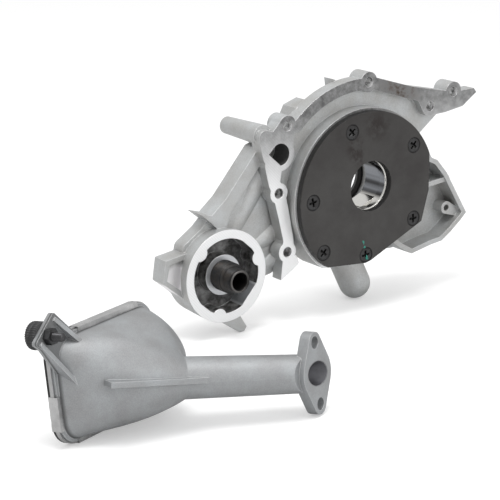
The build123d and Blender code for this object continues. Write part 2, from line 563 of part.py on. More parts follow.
with BuildPart() as inner_rotor:
    with BuildSketch(at_y(ROTOR_BACK_Y)):
        with BuildLine():
            Spline(*tooth_points(), periodic=True)
        make_face()
    extrude(amount=ROTOR_T)
    with BuildSketch(at_y(ROTOR_BACK_Y + HUB_L)):
        Circle(HUB_R)
    extrude(amount=HUB_L + 1)
    with BuildSketch(at_y(ROTOR_BACK_Y + HUB_L)):
        Circle(BORE_R + FLAT_RELIEF)
        Rectangle(3 * BORE_R, 2 * FLAT_R, rotation=FLAT_TURN, mode=Mode.INTERSECT)
    extrude(amount=ROTOR_BACK_Y + HUB_L - FLAT_START_Y, mode=Mode.SUBTRACT)
    with BuildSketch(at_y(FLAT_START_Y)):
        Circle(BORE_R)
    extrude(amount=ROTOR_T, mode=Mode.SUBTRACT)
    mouths = inner_rotor.edges().filter_by(GeomType.CIRCLE).group_by(Axis.Y)
    chamfer(mouths[0], length=0.8)
inner_rotor.part.label = "inner_rotor"

with BuildPart() as outer_rotor:
    with BuildSketch(at_y(ROTOR_BACK_Y)):
        with Locations(ROTOR_C):
            Circle(OUTER_ROTOR_R)
            Circle(TOOTH_TIP_R + ECCENTRICITY + 0.3, mode=Mode.SUBTRACT)
            with PolarLocations(LOBE_PITCH_R, OUTER_TEETH, start_angle=-90):
                Circle(LOBE_R)
            Circle(OUTER_ROTOR_R, mode=Mode.INTERSECT)
    extrude(amount=ROTOR_T)
outer_rotor.part.label = "outer_rotor"

# ---------------------------------------------------------------- cover plate and screws
with BuildPart() as cover_plate:
    with BuildSketch(at_y(PLATE_SEAT_Y)):
        plate_outline()
        Circle(CRANK_HOLE_R, mode=Mode.SUBTRACT)
    extrude(amount=PLATE_T)
    with Locations(at_y(PLATE_FACE_Y)):
        with Locations(*PLATE_SCREWS):
            CounterSinkHole(SCREW_R + SCREW_GAP, SCREW_HEAD_R + SCREW_SINK + SCREW_FIT)
cover_plate.part.label = "cover_plate"

with BuildPart() as cover_screws:
    with Locations(at_y(PLATE_FACE_Y + SCREW_SINK)):
        with Locations(*PLATE_SCREWS):
            Cone(SCREW_R, SCREW_HEAD_R, SCREW_HEAD_R - SCREW_R,
                 align=(Align.CENTER, Align.CENTER, Align.MAX))
            Cylinder(SCREW_R - SCREW_FIT, SCREW_L - SCREW_END_GAP,
                     align=(Align.CENTER, Align.CENTER, Align.MAX))
            for arm in (45, 135):
                Box(CROSS_L, CROSS_W, 2 * CROSS_DEPTH, rotation=(0, 0, arm), mode=Mode.SUBTRACT)
cover_screws.part.label = "cover_screws"

# ---------------------------------------------------------------- crank seal
SEAL_BACK_Y = SEAL_SEAT_Y + SEAL_T


def ring(*section):
    """Section of a ring, given as radius and Y points, as a sketch of its own."""
    with BuildSketch(Plane.XY) as outline:
        Polygon(*section, align=None)
    return outline.sketch


with BuildPart() as seal_case:
    add(ring((SEAL_R - SEAL_FIT, SEAL_SEAT_Y + SEAL_SEAT_GAP), (SEAL_R - SEAL_FIT, SEAL_BACK_Y),
             (SEAL_MOUTH_R, SEAL_BACK_Y), (SEAL_MOUTH_R, SEAL_BACK_Y - SEAL_WALL),
             (SEAL_R - SEAL_WALL, SEAL_BACK_Y - SEAL_WALL),
             (SEAL_R - SEAL_WALL, SEAL_SEAT_Y + SEAL_SEAT_GAP)))
    revolve(axis=Axis.Y)
seal_case.part.label = "crank_seal_case"

with BuildPart() as seal_lip:
    lip_top = SEAL_BACK_Y - SEAL_WALL - LIP_GAP
    add(ring((SEAL_R - SEAL_WALL - LIP_GAP, lip_top), (SEAL_MOUTH_R - LIP_GAP, lip_top),
             (SEAL_MOUTH_R - LIP_GAP, SEAL_BACK_Y),
             *[(radius, SEAL_BACK_Y - depth) for radius, depth in LIP_SECTION]))
    revolve(axis=Axis.Y)
seal_lip.part.label = "crank_seal_lip"

with BuildPart() as seal_spring:
    with BuildSketch(Plane.XY):
        with Locations((GARTER_AT[0], SEAL_BACK_Y - GARTER_AT[1])):
            RegularPolygon(GARTER_WIRE_R, 4)
    revolve(axis=Axis.Y)
seal_spring.part.label = "crank_seal_spring"

# ---------------------------------------------------------------- filter head fittings
with BuildPart() as filter_nipple:
    with Locations(at_y(STUD_SEAT_Y)):
        with Locations(FILTER_C):
            Cylinder(NIPPLE_COLLAR_R, NIPPLE_COLLAR_L, align=(Align.CENTER, Align.CENTER, Align.MIN))
            Cylinder(NIPPLE_R - NIPPLE_FIT, NIPPLE_OUT, align=(Align.CENTER, Align.CENTER, Align.MIN))
            Cylinder(NIPPLE_SHANK_R, NIPPLE_IN, align=(Align.CENTER, Align.CENTER, Align.MAX))
            Cylinder(NIPPLE_BORE_R, 2 * (NIPPLE_OUT + PAST), mode=Mode.SUBTRACT)
    chamfer(filter_nipple.edges().group_by(Axis.Y)[0].sort_by(SortBy.LENGTH)[-1], length=1.0)
filter_nipple.part.label = "filter_nipple"

with BuildPart() as core_plug:
    with Locations(at_y(HEAD_BACK_Y - CORE_PLUG_T)):
        with Locations(FILTER_C):
            Cylinder(CORE_PLUG_R - CORE_PLUG_FIT, CORE_PLUG_T - CORE_PLUG_SINK,
                     align=(Align.CENTER, Align.CENTER, Align.MAX))
    with Locations(at_y(HEAD_BACK_Y)):
        with Locations(FILTER_C):
            Cylinder(CORE_PLUG_R - CORE_PLUG_WALL, 2 * (CORE_PLUG_T - CORE_PLUG_WALL), mode=Mode.SUBTRACT)
core_plug.part.label = "core_plug"

# ---------------------------------------------------------------- relief valve
PISTON_START = PLUG_L + PISTON_END_GAP         # crown's distance from the bore's mouth at rest
SPRING_SEAT = PISTON_START + PISTON_CROWN_T    # floor of the piston's skirt


def along_relief(distance):
    """Plane across the relief bore, so far in from its mouth, facing its blind end."""
    return relief_plane.offset(distance)


with BuildPart() as relief_piston:
    with BuildSketch(along_relief(PISTON_START)):
        Circle(RELIEF_BORE_R - PISTON_GAP)
    extrude(amount=PISTON_L)
    with BuildSketch(along_relief(SPRING_SEAT)):
        Circle(RELIEF_BORE_R - PISTON_WALL)
    extrude(amount=PISTON_L, mode=Mode.SUBTRACT)
    chamfer(relief_piston.edges().group_by(Axis(relief_plane.origin, relief_plane.z_dir))[0], length=1.0)
relief_piston.part.label = "relief_piston"

with BuildPart() as relief_plug:
    with BuildSketch(along_relief(-WASHER_T)):
        RegularPolygon(PLUG_HEAD_R, 6, major_radius=False)
    extrude(amount=-PLUG_HEAD_T)
    with BuildSketch(along_relief(-WASHER_T)):
        Circle(RELIEF_BORE_R - PLUG_FIT)
    extrude(amount=WASHER_T + PLUG_THREAD_L)
    with BuildSketch(along_relief(PLUG_THREAD_L)):
        Circle(PLUG_NOSE_R)
    extrude(amount=PLUG_L - PLUG_THREAD_L)
relief_plug.part.label = "relief_plug"

with BuildPart() as relief_washer:
    with BuildSketch(along_relief(0)):
        Circle(RELIEF_BODY_R - WASHER_MARGIN)
        Circle(RELIEF_BORE_R + WASHER_GAP, mode=Mode.SUBTRACT)
    extrude(amount=-WASHER_T)
relief_washer.part.label = "relief_plug_washer"

SPRING_R = RELIEF_BORE_R - PISTON_WALL - SPRING_WIRE_R - SPRING_SIDE_GAP
SPRING_L = RELIEF_BORE_L - SPRING_SEAT - 2 * (SPRING_WIRE_R + SPRING_END_GAP)
with BuildPart() as relief_spring:
    coil_plane = along_relief(SPRING_SEAT + SPRING_WIRE_R + SPRING_END_GAP)
    with BuildLine():
        wire = Helix(SPRING_L / SPRING_TURNS, SPRING_L, SPRING_R, center=coil_plane.origin,
                     direction=coil_plane.z_dir)
    with BuildSketch(Plane(wire @ 0, z_dir=wire % 0)):
        RegularPolygon(SPRING_WIRE_R, 4)
    sweep(is_frenet=True)
relief_spring.part.label = "relief_spring"

# ---------------------------------------------------------------- pickup
# Built with its mouth on the plane z = 0 and its tube on the +z side, then set in place.
tube_run = Vector(*PICK_FLANGE_C, PICK_FLANGE_Z) - Vector(*NECK_AT)
across_tube = Plane(NECK_AT, z_dir=tube_run)


def mouth(z, inset, corner_r):
    """Rounded rectangle across the pickup's mouth, as a sketch of its own."""
    with BuildSketch(Plane.XY.offset(z)) as outline:
        RectangleRounded(MOUTH_W - 2 * inset, MOUTH_H - 2 * inset, corner_r)
    return outline.sketch


def shoulder(z, inset):
    """Rounded rectangle where the bell turns in to its neck, as a sketch of its own."""
    with BuildSketch(Plane.XY.offset(z)) as outline:
        with Locations(SHOULDER_C):
            RectangleRounded(SHOULDER_W - 2 * inset, SHOULDER_H - 2 * inset, SHOULDER_R - inset)
    return outline.sketch


def gusset(start, end):
    """Triangular rib from the ear up to the bell, as a solid of its own."""
    run = Vector(*end, 0) - Vector(*start, 0)
    with BuildPart() as rib:
        with BuildSketch(Plane((*start, 0), x_dir=run, z_dir=run.cross(Vector(0, 0, 1)))):
            Polygon((0, EAR_Z), (run.length, EAR_Z), (run.length, GUSSET_TOP_Z),
                    (0, EAR_Z + EAR_T + 1), align=None)
        extrude(amount=GUSSET_T / 2, both=True)
    return rib.part


with BuildPart() as pickup_body:
    # Bell from the mouth to the neck, and its rim.
    add(mouth(MOUTH_RIM_T, RIM_STEP, MOUTH_CORNER_R - RIM_STEP))
    add(shoulder(SHOULDER_Z, 0))
    with BuildSketch(across_tube):
        Circle(NECK_R)
    loft()
    add(mouth(FRAME_T, FRAME_T + FRAME_GAP, MOUTH_CORNER_R - FRAME_T))
    extrude(amount=MOUTH_RIM_T)
    # Tube, cut off square in the middle of the mounting flange.
    with BuildSketch(across_tube):
        Circle(NECK_R)
    extrude(amount=tube_run.length + 40, taper=TUBE_TAPER)
    with Locations((*PICK_FLANGE_C, PICK_FLANGE_Z - PICK_FLANGE_T / 2)):
        Box(90, 90, 80, align=(Align.CENTER, Align.CENTER, Align.MIN), mode=Mode.SUBTRACT)
    with BuildSketch(Plane.XY.offset(PICK_FLANGE_Z)):
        for side in (-1, 1):
            link((PICK_FLANGE_C[0], PICK_FLANGE_C[1] + side * FLANGE_HOLE_REACH), FLANGE_END_R,
                 PICK_FLANGE_C, PICK_FLANGE_MID_R)
    extrude(amount=-PICK_FLANGE_T)
    # Ear for the foot, and its two gussets.
    with BuildSketch(Plane.XY.offset(EAR_Z)):
        Polygon(*EAR_EDGE, align=None)
        offset(amount=EAR_ROUND)
    extrude(amount=EAR_T)
    for start, end in GUSSETS:
        add(gusset(start, end))
    # Rib along the parting line, from the bell's crest on to the tube.
    crest = Vector(*RIB_END) - Vector(*RIB_START)
    with Locations(Plane(RIB_START, x_dir=crest, z_dir=crest.cross(Vector(0, 1, 0)) * -1)):
        Box(crest.length, RIB_W, RIB_H, align=(Align.MIN, Align.CENTER, Align.MAX))
    # Hollow inside.
    add(mouth(0, CAST_WALL + RIM_STEP, MOUTH_CORNER_R - 2 * RIM_STEP))
    add(shoulder(SHOULDER_Z - CAST_WALL, CAST_WALL + 1))
    with BuildSketch(across_tube):
        Circle(TUBE_BORE_R)
    loft(mode=Mode.SUBTRACT)
    with BuildSketch(across_tube):
        Circle(TUBE_BORE_R)
    extrude(amount=tube_run.length + 3 * TUBE_BORE_R, mode=Mode.SUBTRACT)
    with BuildSketch(Plane.XY.offset(PICK_FLANGE_Z)):
        with Locations((PICK_FLANGE_C[0], PICK_FLANGE_C[1] - FLANGE_HOLE_REACH),
                       (PICK_FLANGE_C[0], PICK_FLANGE_C[1] + FLANGE_HOLE_REACH)):
            Circle(PICK_HOLE_R)
    extrude(amount=-30, mode=Mode.SUBTRACT)
    with BuildSketch(Plane.XY.offset(EAR_Z - 1)):
        with Locations(FOOT_AT):
            Circle(STUD_R + EAR_HOLE_GAP)
    extrude(amount=EAR_T + 8, mode=Mode.SUBTRACT)
pickup_body.part.label = "pickup_body"

with BuildPart() as strainer_frame:
    # Folded sheet: a lap over the mouth and a side wall round the casting's rim.
    add(mouth(-FRAME_T, 0, MOUTH_CORNER_R))
    extrude(amount=MOUTH_RIM_T)
    add(mouth(0, FRAME_T, MOUTH_CORNER_R - FRAME_T))
    extrude(amount=MOUTH_RIM_T, mode=Mode.SUBTRACT)
    add(mouth(-2 * FRAME_T, FRAME_LAP + FRAME_T, MOUTH_CORNER_R - FRAME_LAP))
    extrude(amount=4 * FRAME_T, mode=Mode.SUBTRACT)
strainer_frame.part.label = "strainer_frame"

with BuildPart() as strainer_screen:
    add(mouth(0, FRAME_T + FRAME_GAP, MOUTH_CORNER_R - FRAME_T))
    extrude(amount=FRAME_T)
    with BuildSketch():
        with GridLocations(SCREEN_PITCH, SCREEN_PITCH, SCREEN_COLUMNS, SCREEN_ROWS):
            Rectangle(SCREEN_HOLE, SCREEN_HOLE)
    extrude(amount=2 * FRAME_T, mode=Mode.SUBTRACT)
strainer_screen.part.label = "strainer_screen"

with BuildPart() as foot:
    with Locations((*FOOT_AT, EAR_Z)):
        Cylinder(FOOT_R, FOOT_L, align=(Align.CENTER, Align.CENTER, Align.MAX))
    chamfer(foot.edges().filter_by(GeomType.CIRCLE), length=1.0)
    with Locations((*FOOT_AT, EAR_Z)):
        Cylinder(STUD_R, STUD_DEPTH, align=(Align.CENTER, Align.CENTER, Align.MAX), mode=Mode.SUBTRACT)
foot.part.label = "foot_pad"

with BuildPart() as foot_stud:
    with Locations((*FOOT_AT, EAR_Z - STUD_DEPTH)):
        Cylinder(STUD_R - STUD_FIT, STUD_L, align=(Align.CENTER, Align.CENTER, Align.MIN))
    chamfer(foot_stud.faces().sort_by(Axis.Z)[-1].edges(), length=0.6)
foot_stud.part.label = "foot_stud"

with BuildPart() as foot_nut:
    with BuildSketch(Plane.XY.offset(EAR_Z + EAR_T)):
        with Locations(FOOT_AT):
            RegularPolygon(NUT_R, 6, major_radius=False)
            Circle(STUD_R + STUD_FIT, mode=Mode.SUBTRACT)
    extrude(amount=NUT_T)
foot_nut.part.label = "foot_nut"

turn, tilt = radians(PICKUP_TURN), radians(PICKUP_TILT)
pickup_place = Plane(
    PICKUP_AT, x_dir=(cos(turn), sin(turn), 0),
    z_dir=(cos(tilt) * sin(turn), -cos(tilt) * cos(turn), sin(tilt)),
).location

for piece in (housing, inner_rotor, outer_rotor, cover_plate, cover_screws, seal_case, seal_lip,
              seal_spring, filter_nipple, core_plug, relief_piston, relief_plug, relief_washer,
              relief_spring):
    export_step(piece.part, f"parts/{piece.part.label}.step")
for piece in (pickup_body, strainer_frame, strainer_screen, foot, foot_stud, foot_nut):
    placed = piece.part.moved(pickup_place)
    placed.label = piece.part.label
    export_step(placed, f"parts/{placed.label}.step")
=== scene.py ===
import bmesh
import bpy
import numpy as np
from mathutils import Matrix, Vector


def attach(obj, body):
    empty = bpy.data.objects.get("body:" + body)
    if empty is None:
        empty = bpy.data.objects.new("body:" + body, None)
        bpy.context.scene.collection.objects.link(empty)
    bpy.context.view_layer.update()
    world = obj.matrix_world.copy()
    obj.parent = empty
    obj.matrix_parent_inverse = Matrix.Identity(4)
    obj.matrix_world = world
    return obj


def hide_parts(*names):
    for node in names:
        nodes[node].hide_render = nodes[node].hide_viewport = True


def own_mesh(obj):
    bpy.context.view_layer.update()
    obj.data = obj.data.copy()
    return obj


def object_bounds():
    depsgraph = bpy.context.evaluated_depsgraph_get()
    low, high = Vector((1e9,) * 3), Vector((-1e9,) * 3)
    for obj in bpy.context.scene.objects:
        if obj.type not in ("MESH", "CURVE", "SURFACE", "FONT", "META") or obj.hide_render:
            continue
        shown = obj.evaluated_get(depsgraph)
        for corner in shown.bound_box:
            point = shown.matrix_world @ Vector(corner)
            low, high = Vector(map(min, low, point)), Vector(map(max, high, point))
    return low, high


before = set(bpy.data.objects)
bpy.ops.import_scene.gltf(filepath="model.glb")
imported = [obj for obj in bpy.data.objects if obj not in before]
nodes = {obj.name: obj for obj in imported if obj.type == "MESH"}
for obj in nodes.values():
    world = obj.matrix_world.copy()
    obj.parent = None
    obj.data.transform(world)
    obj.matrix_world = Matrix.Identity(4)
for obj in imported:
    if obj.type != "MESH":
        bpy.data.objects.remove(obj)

cad_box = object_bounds()

# Camera at the product view's angle: above the gasket side and well to its left, with a
# long lens. Its right, up and back directions are the columns of its turn.
CAMERA_AT, CAMERA_RIGHT = (-0.8985, -1.1231, 0.3441), Vector((0.8192, -0.5736, 0.0))
CAMERA_BACK = Vector((-0.5525, -0.7890, 0.2689))
SENSOR_MM, LENS_MM = 36.0, 129.6
camera_turn = Matrix((CAMERA_RIGHT, CAMERA_BACK.cross(CAMERA_RIGHT), CAMERA_BACK)).transposed()
camera = bpy.data.objects.new("camera", bpy.data.cameras.new("camera"))
camera.matrix_world = Matrix.Translation(CAMERA_AT) @ camera_turn.to_4x4()
camera.data.sensor_width = SENSOR_MM
camera.data.lens = LENS_MM
bpy.context.scene.collection.objects.link(camera)
bpy.context.scene.camera = camera
bpy.context.scene.view_settings.view_transform = "Standard"

# Studio: a pale floor that keeps soft shadows, a white surround for what is seen directly,
# plain light from all round that is stronger from above, and two soft boxes.
FLOOR_Z = cad_box[0][2] - 0.0003
FLOOR_CORNERS = ((-4, -3), (4, -3), (4, 6), (-4, 6))
WHITE, PAPER_GREY, PAPER_GLOW = (1.0, 1.0, 1.0, 1.0), (0.68, 0.68, 0.68, 1.0), 0.36
SKY_HEIGHTS, SKY_LEVELS = (-0.1, 0.85), (0.58, 0.92)     # from under the horizon to near the top


class Graph:
    """Short ways to add and join nodes in one material or world."""

    def __init__(self, owner):
        owner.use_nodes = True
        self.tree = owner.node_tree
        self.tree.nodes.clear()

    def add(self, kind, inputs=(), **settings):
        """Adds a node; inputs maps a socket's name or number to a value or another socket."""
        node = self.tree.nodes.new("ShaderNode" + kind)
        for name, value in settings.items():
            setattr(node, name, value)
        for name, value in dict(inputs).items():
            if isinstance(value, bpy.types.NodeSocket):
                self.tree.links.new(value, node.inputs[name])
            else:
                node.inputs[name].default_value = value
        return node

    def math(self, operation, *values):
        """Result of a Math node."""
        return self.add("Math", dict(enumerate(values)), operation=operation).outputs[0]

    def remap(self, value, low, high, to_low, to_high):
        """Value's place between low and high, clamped and carried to another range."""
        return self.add("MapRange", {0: value, 1: low, 2: high, 3: to_low, 4: to_high}).outputs[0]

    def noise(self, place, scale, detail=4.0, roughness=0.6):
        """Cloudy noise, about 0.3 to 0.7."""
        return self.add("TexNoise", {"Vector": place, "Scale": scale, "Detail": detail,
                                     "Roughness": roughness}).outputs[0]

    def mix(self, share, first, second, blend="MIX"):
        """Colour between two, each a tuple or a socket."""
        ends = [(*c, 1.0) if isinstance(c, tuple) else c for c in (first, second)]
        return self.add("Mix", {0: share, 6: ends[0], 7: ends[1]}, data_type="RGBA",
                        blend_type=blend).outputs[2]

    def axes(self, vector):
        """X, Y and Z of a vector."""
        return self.add("SeparateXYZ", {0: vector}).outputs

    def dot(self, first, second):
        """Length of one vector along another."""
        return self.add("VectorMath", {0: first, 1: second}, operation="DOT_PRODUCT").outputs["Value"]

    def any_of(self, first, *others):
        """The largest of several masks."""
        for mask in others:
            first = self.math("MAXIMUM", first, mask)
        return first

    def all_of(self, first, *others):
        """The product of several masks."""
        for mask in others:
            first = self.math("MULTIPLY", first, mask)
        return first

    def near_axis(self, place, centre, reach, soft):
        """1 within reach of an axis along Y through centre (X, Z), falling to 0 over soft."""
        flat = self.add("VectorMath", {0: place, 1: (1.0, 0.0, 1.0)},
                        operation="MULTIPLY").outputs[0]
        away = self.add("VectorMath", {0: flat, 1: (centre[0], 0.0, centre[1])},
                        operation="DISTANCE").outputs["Value"]
        return self.remap(away, reach, reach + soft, 1.0, 0.0)


world = bpy.data.worlds.new("studio")
bpy.context.scene.world = world
g = Graph(world)
path = g.add("LightPath").outputs
seen = g.any_of(path["Is Camera Ray"], path["Is Transmission Ray"])
height = g.axes(g.add("TexCoord").outputs["Generated"])["Z"]
level = g.remap(height, *SKY_HEIGHTS, *SKY_LEVELS)
soft = g.add("Background", {"Color": WHITE, "Strength": level})
white = g.add("Background", {"Color": WHITE, "Strength": 1.0})
mixed = g.add("MixShader", {0: seen, 1: soft.outputs[0], 2: white.outputs[0]})
g.add("OutputWorld", {"Surface": mixed.outputs[0]})

floor_mesh = bpy.data.meshes.new("floor")
floor_mesh.from_pydata([(x, y, FLOOR_Z) for x, y in FLOOR_CORNERS], [], [(0, 1, 2, 3)])
floor = bpy.data.objects.new("floor", floor_mesh)
bpy.context.scene.collection.objects.link(floor)
floor_material = bpy.data.materials.new("floor_paper")
g = Graph(floor_material)
path = g.add("LightPath").outputs
paper = g.add("BsdfDiffuse", {"Color": PAPER_GREY})
glow = g.add("Emission", {"Color": WHITE, "Strength": PAPER_GLOW})
lit = g.add("AddShader", {0: paper.outputs[0], 1: glow.outputs[0]})
shown = g.add("MixShader", {0: path["Is Camera Ray"], 1: paper.outputs[0], 2: lit.outputs[0]})
g.add("OutputMaterial", {"Surface": shown.outputs[0]})
floor_mesh.materials.append(floor_material)


def soft_box(name, at, aim, size, power):
    """Square area lamp at a place, turned to a point."""
    lamp = bpy.data.objects.new(name, bpy.data.lights.new(name, "AREA"))
    lamp.data.size = size
    lamp.data.energy = power
    lamp.location = at
    lamp.rotation_euler = (Vector(aim) - Vector(at)).to_track_quat("-Z", "Y").to_euler()
    bpy.context.scene.collection.objects.link(lamp)


soft_box("key", at=(-0.5, -0.35, 1.6), aim=(-0.1, 0, 0), size=0.7, power=15.5)
soft_box("fill", at=(0.35, -1.5, 0.55), aim=(0, 0, 0), size=0.6, power=4.5)

# Pump housing: one aluminium casting with a shot-blasted skin. The gasket face, the filter's
# seal land and the nipple's seat are milled bright, the filter cup is turned, and the milled
# faces grow darker towards the top and the left, with a patch of rust.
GASKET_Y, LAND_Y, SEAT_Y, LEVEL_SLACK = 0.0, -0.0060, 0.0050, 0.0003
FILTER_AXIS, CUP_RADIUS = (-0.1345, -0.0565), 0.0306     # X and Z of a bore along Y, as all axes
CUP_FLOOR_Y, CUP_MIDDLE_Y, CUP_HALF_DEPTH = 0.0170, 0.0088, 0.0086
BOLT_AXES = ((0.0054, 0.0835), (0.0964, 0.0660), (0.0710, 0.0565), (-0.0760, 0.0569),
             (-0.0840, 0.0033), (-0.0753, -0.0463))
BOLT_RADIUS, BORE_EDGE = 0.0043, 0.0001
PORT_AXIS, PORT_RADIUS, PORT_FRONT_Y = (-0.0829, 0.0346), 0.0115, 0.0005
POCKET_AXIS, POCKET_RADIUS, POCKET_FRONT_Y = (-0.1725, -0.0563), 0.010, 0.011
RUST_AXIS, DARKENING_Z, DARKENING_X = (0.038, 0.074), (0.008, 0.062), (-0.03, 0.06)
HOUSING_SKIN, HOUSING_SHADE, EDGE_HIGHLIGHT_PAINT = (0.60, 0.62, 0.63), (0.465, 0.46, 0.447), (0.97, 0.97, 0.97)
MILLED_GREY, SEAT_GREY = (0.94, 0.945, 0.95), (0.60, 0.61, 0.63)
DARKENED_GREY, STAIN_BROWN = (0.18, 0.18, 0.18), (0.075, 0.055, 0.042)
CUP_GREY, CUP_OIL, CUP_FLOOR_DARK = (0.50, 0.50, 0.50), (0.10, 0.097, 0.093), (0.02, 0.02, 0.02)
HOLE_SHADE, HOLE_GLINT, POCKET_GREY = (0.16, 0.16, 0.16), (0.97, 0.97, 0.97), (0.95, 0.94, 0.95)
PORT_SHADE, PORT_GREY = (0.05, 0.05, 0.05), (0.24, 0.24, 0.24)


def new_material(name):
    """A material, its graph, and the place in object coordinates that its patterns read."""
    material = bpy.data.materials.new(name)
    graph = Graph(material)
    return material, graph, graph.add("TexCoord").outputs["Object"]


def blasted_skin(g, place, skin, shade, grain=1500.0):
    """Colour of a shot-blasted casting, and the height of its grain."""
    tone = g.remap(g.noise(place, 45.0, 5.0), 0.3, 0.75, 0.0, 1.0)
    fine = g.noise(place, grain, 3.0, 0.7)
    speck = g.remap(fine, 0.35, 0.62, 0.84, 1.05)
    colour = g.mix(1.0, g.mix(tone, shade, skin), speck, "MULTIPLY")
    return colour, g.math("ADD", fine, g.noise(place, 420.0))


def finish_metal(g, colour, roughness, metallic, height, strength, distance, edge, edge_highlight_share=0.0):
    """Shader of a metal whose sharp edges look slightly rounded, and get a painted highlight
    by a share where the rounding turns them."""
    rounded = g.add("Bevel", {"Radius": edge}, samples=4)
    if edge_highlight_share:
        unturned = g.dot(rounded.outputs[0], g.add("NewGeometry").outputs["Normal"])
        colour = g.mix(g.remap(unturned, 0.82, 0.99, edge_highlight_share, 0.0), colour, EDGE_HIGHLIGHT_PAINT)
    bump = g.add("Bump", {"Height": height, "Strength": strength, "Distance": distance,
                          "Normal": rounded.outputs[0]})
    shader = g.add("BsdfPrincipled", {"Base Color": colour, "Metallic": metallic,
                                      "Roughness": roughness, "Normal": bump.outputs[0]})
    g.add("OutputMaterial", {"Surface": shader.outputs[0]})


def dress(node, material):
    """Puts a material on every slot of a CAD node."""
    data = nodes[node].data
    if not data.materials:
        data.materials.append(material)
    for i in range(len(data.materials)):
        data.materials[i] = material


cast_aluminium, g, place = new_material("cast_aluminium")
skin, grain = blasted_skin(g, place, HOUSING_SKIN, HOUSING_SHADE)
x, y, z = g.axes(place).values()
facing = g.axes(g.add("NewGeometry").outputs["True Normal"])["Y"]
blotch = g.noise(place, 160.0, 6.0, 0.7)
# The milled faces, darker towards the top and the left, and their rust.
levels = [g.math("COMPARE", y, level, LEVEL_SLACK) for level in (GASKET_Y, LAND_Y, SEAT_Y)]
milled = g.all_of(g.any_of(*levels), g.math("LESS_THAN", facing, -0.95))
lines = g.add("TexWave", {"Vector": place, "Scale": 260.0, "Distortion": 1.5, "Detail": 2.0},
              bands_direction="DIAGONAL").outputs["Fac"]
bright = g.mix(1.0, MILLED_GREY, g.remap(lines, 0.0, 1.0, 0.92, 1.0), "MULTIPLY")
bright = g.mix(levels[2], bright, SEAT_GREY)
top_darkening = g.all_of(g.remap(z, *DARKENING_Z, 0.0, 1.0), g.remap(blotch, 0.34, 0.62, 1.0, 0.78))
rust = g.all_of(g.near_axis(place, RUST_AXIS, 0.006, 0.022), g.remap(blotch, 0.42, 0.60, 0.0, 1.0))
darkened_face = g.mix(g.remap(x, *DARKENING_X, 0.0, 1.0), tuple(0.6 * c for c in DARKENED_GREY), DARKENED_GREY)
rust_and_darkening = g.mix(rust, g.mix(top_darkening, bright, darkened_face), STAIN_BROWN)
# The turned filter cup, oily in patches and darkest on its floor.
in_cup = g.all_of(g.near_axis(place, FILTER_AXIS, CUP_RADIUS, BORE_EDGE),
                  g.math("COMPARE", y, CUP_MIDDLE_Y, CUP_HALF_DEPTH), g.math("SUBTRACT", 1.0, milled))
turned = g.mix(g.remap(g.noise(place, 120.0), 0.38, 0.60, 0.0, 1.0), CUP_GREY, CUP_OIL)
turned = g.mix(g.math("LESS_THAN", facing, -0.8), turned, g.mix(0.62, turned, CUP_FLOOR_DARK))
# Painted shade and glints in the bolt holes, painted shade in the oil port, and the bright pocket beside
# the filter head.
bored = g.any_of(*[g.near_axis(place, axis, BOLT_RADIUS, BORE_EDGE) for axis in BOLT_AXES])
in_port = g.all_of(g.near_axis(place, PORT_AXIS, PORT_RADIUS, 0.0003),
                   g.math("GREATER_THAN", y, PORT_FRONT_Y),
                   g.math("LESS_THAN", g.math("ABSOLUTE", facing), 0.9))
in_pocket = g.all_of(g.near_axis(place, POCKET_AXIS, POCKET_RADIUS, 0.004),
                     g.math("GREATER_THAN", y, POCKET_FRONT_Y))
walls = g.mix(bored, skin, g.mix(g.remap(blotch, 0.40, 0.56, 0.0, 1.0), HOLE_SHADE, HOLE_GLINT))
walls = g.mix(in_port, walls, g.mix(blotch, PORT_SHADE, PORT_GREY))
walls = g.mix(in_pocket, walls, POCKET_GREY)
colour = g.mix(milled, g.mix(in_cup, walls, turned), rust_and_darkening)
machined = g.any_of(milled, in_cup)
roughness = g.remap(machined, 0.0, 1.0, 0.48, 0.34)
strength = g.remap(machined, 0.0, 1.0, 0.55, 0.06)
# The rounded edges get a painted highlight.
finish_metal(g, colour, roughness, 0.68, height=grain, strength=strength, distance=0.00035,
             edge=0.0007, edge_highlight_share=0.6)
dress("pump_housing", cast_aluminium)

# Flat in the filter cup: where the oil gallery passes, the cup's lower right wall is a milled
# flat instead of round. It is part of the casting and is shown as a block that fills the arc.
CUP_FLAT_ENDS = ((-0.10553, -0.06657), (-0.12026, -0.08355))
CUP_FLAT_CORNERS = ((-0.1060, -0.0671), (-0.1199, -0.0832))     # where it meets the round wall
CUP_FLAT_COLUMNS, BELOW_FACE, INTO_WALL, INTO_FLOOR = 13, 0.00002, 0.0004, 0.0002
FLAT_GROOVE, FLAT_RIDGE, FLAT_CORNER_HIGHLIGHT = (0.40, 0.415, 0.44), (0.60, 0.615, 0.64), (0.90, 0.92, 0.95)


def build_piece(name, points, faces, material, smooth=True):
    """Makes a piece that rides on the housing from arrays of points in metres and faces.
    Points that coincide at seams and poles are merged, and the faces are turned outwards."""
    mesh = bpy.data.meshes.new(name)
    mesh.from_pydata(np.asarray(points).reshape(-1, 3).tolist(), [], np.asarray(faces).tolist())
    shell = bmesh.new()
    shell.from_mesh(mesh)
    bmesh.ops.remove_doubles(shell, verts=shell.verts, dist=1e-7)
    bmesh.ops.recalc_face_normals(shell, faces=shell.faces)
    for face in shell.faces:
        face.smooth = smooth
    shell.to_mesh(mesh)
    shell.free()
    mesh.materials.append(material)
    piece = bpy.data.objects.new(name, mesh)
    bpy.context.scene.collection.objects.link(piece)
    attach(piece, "housing")
    return piece


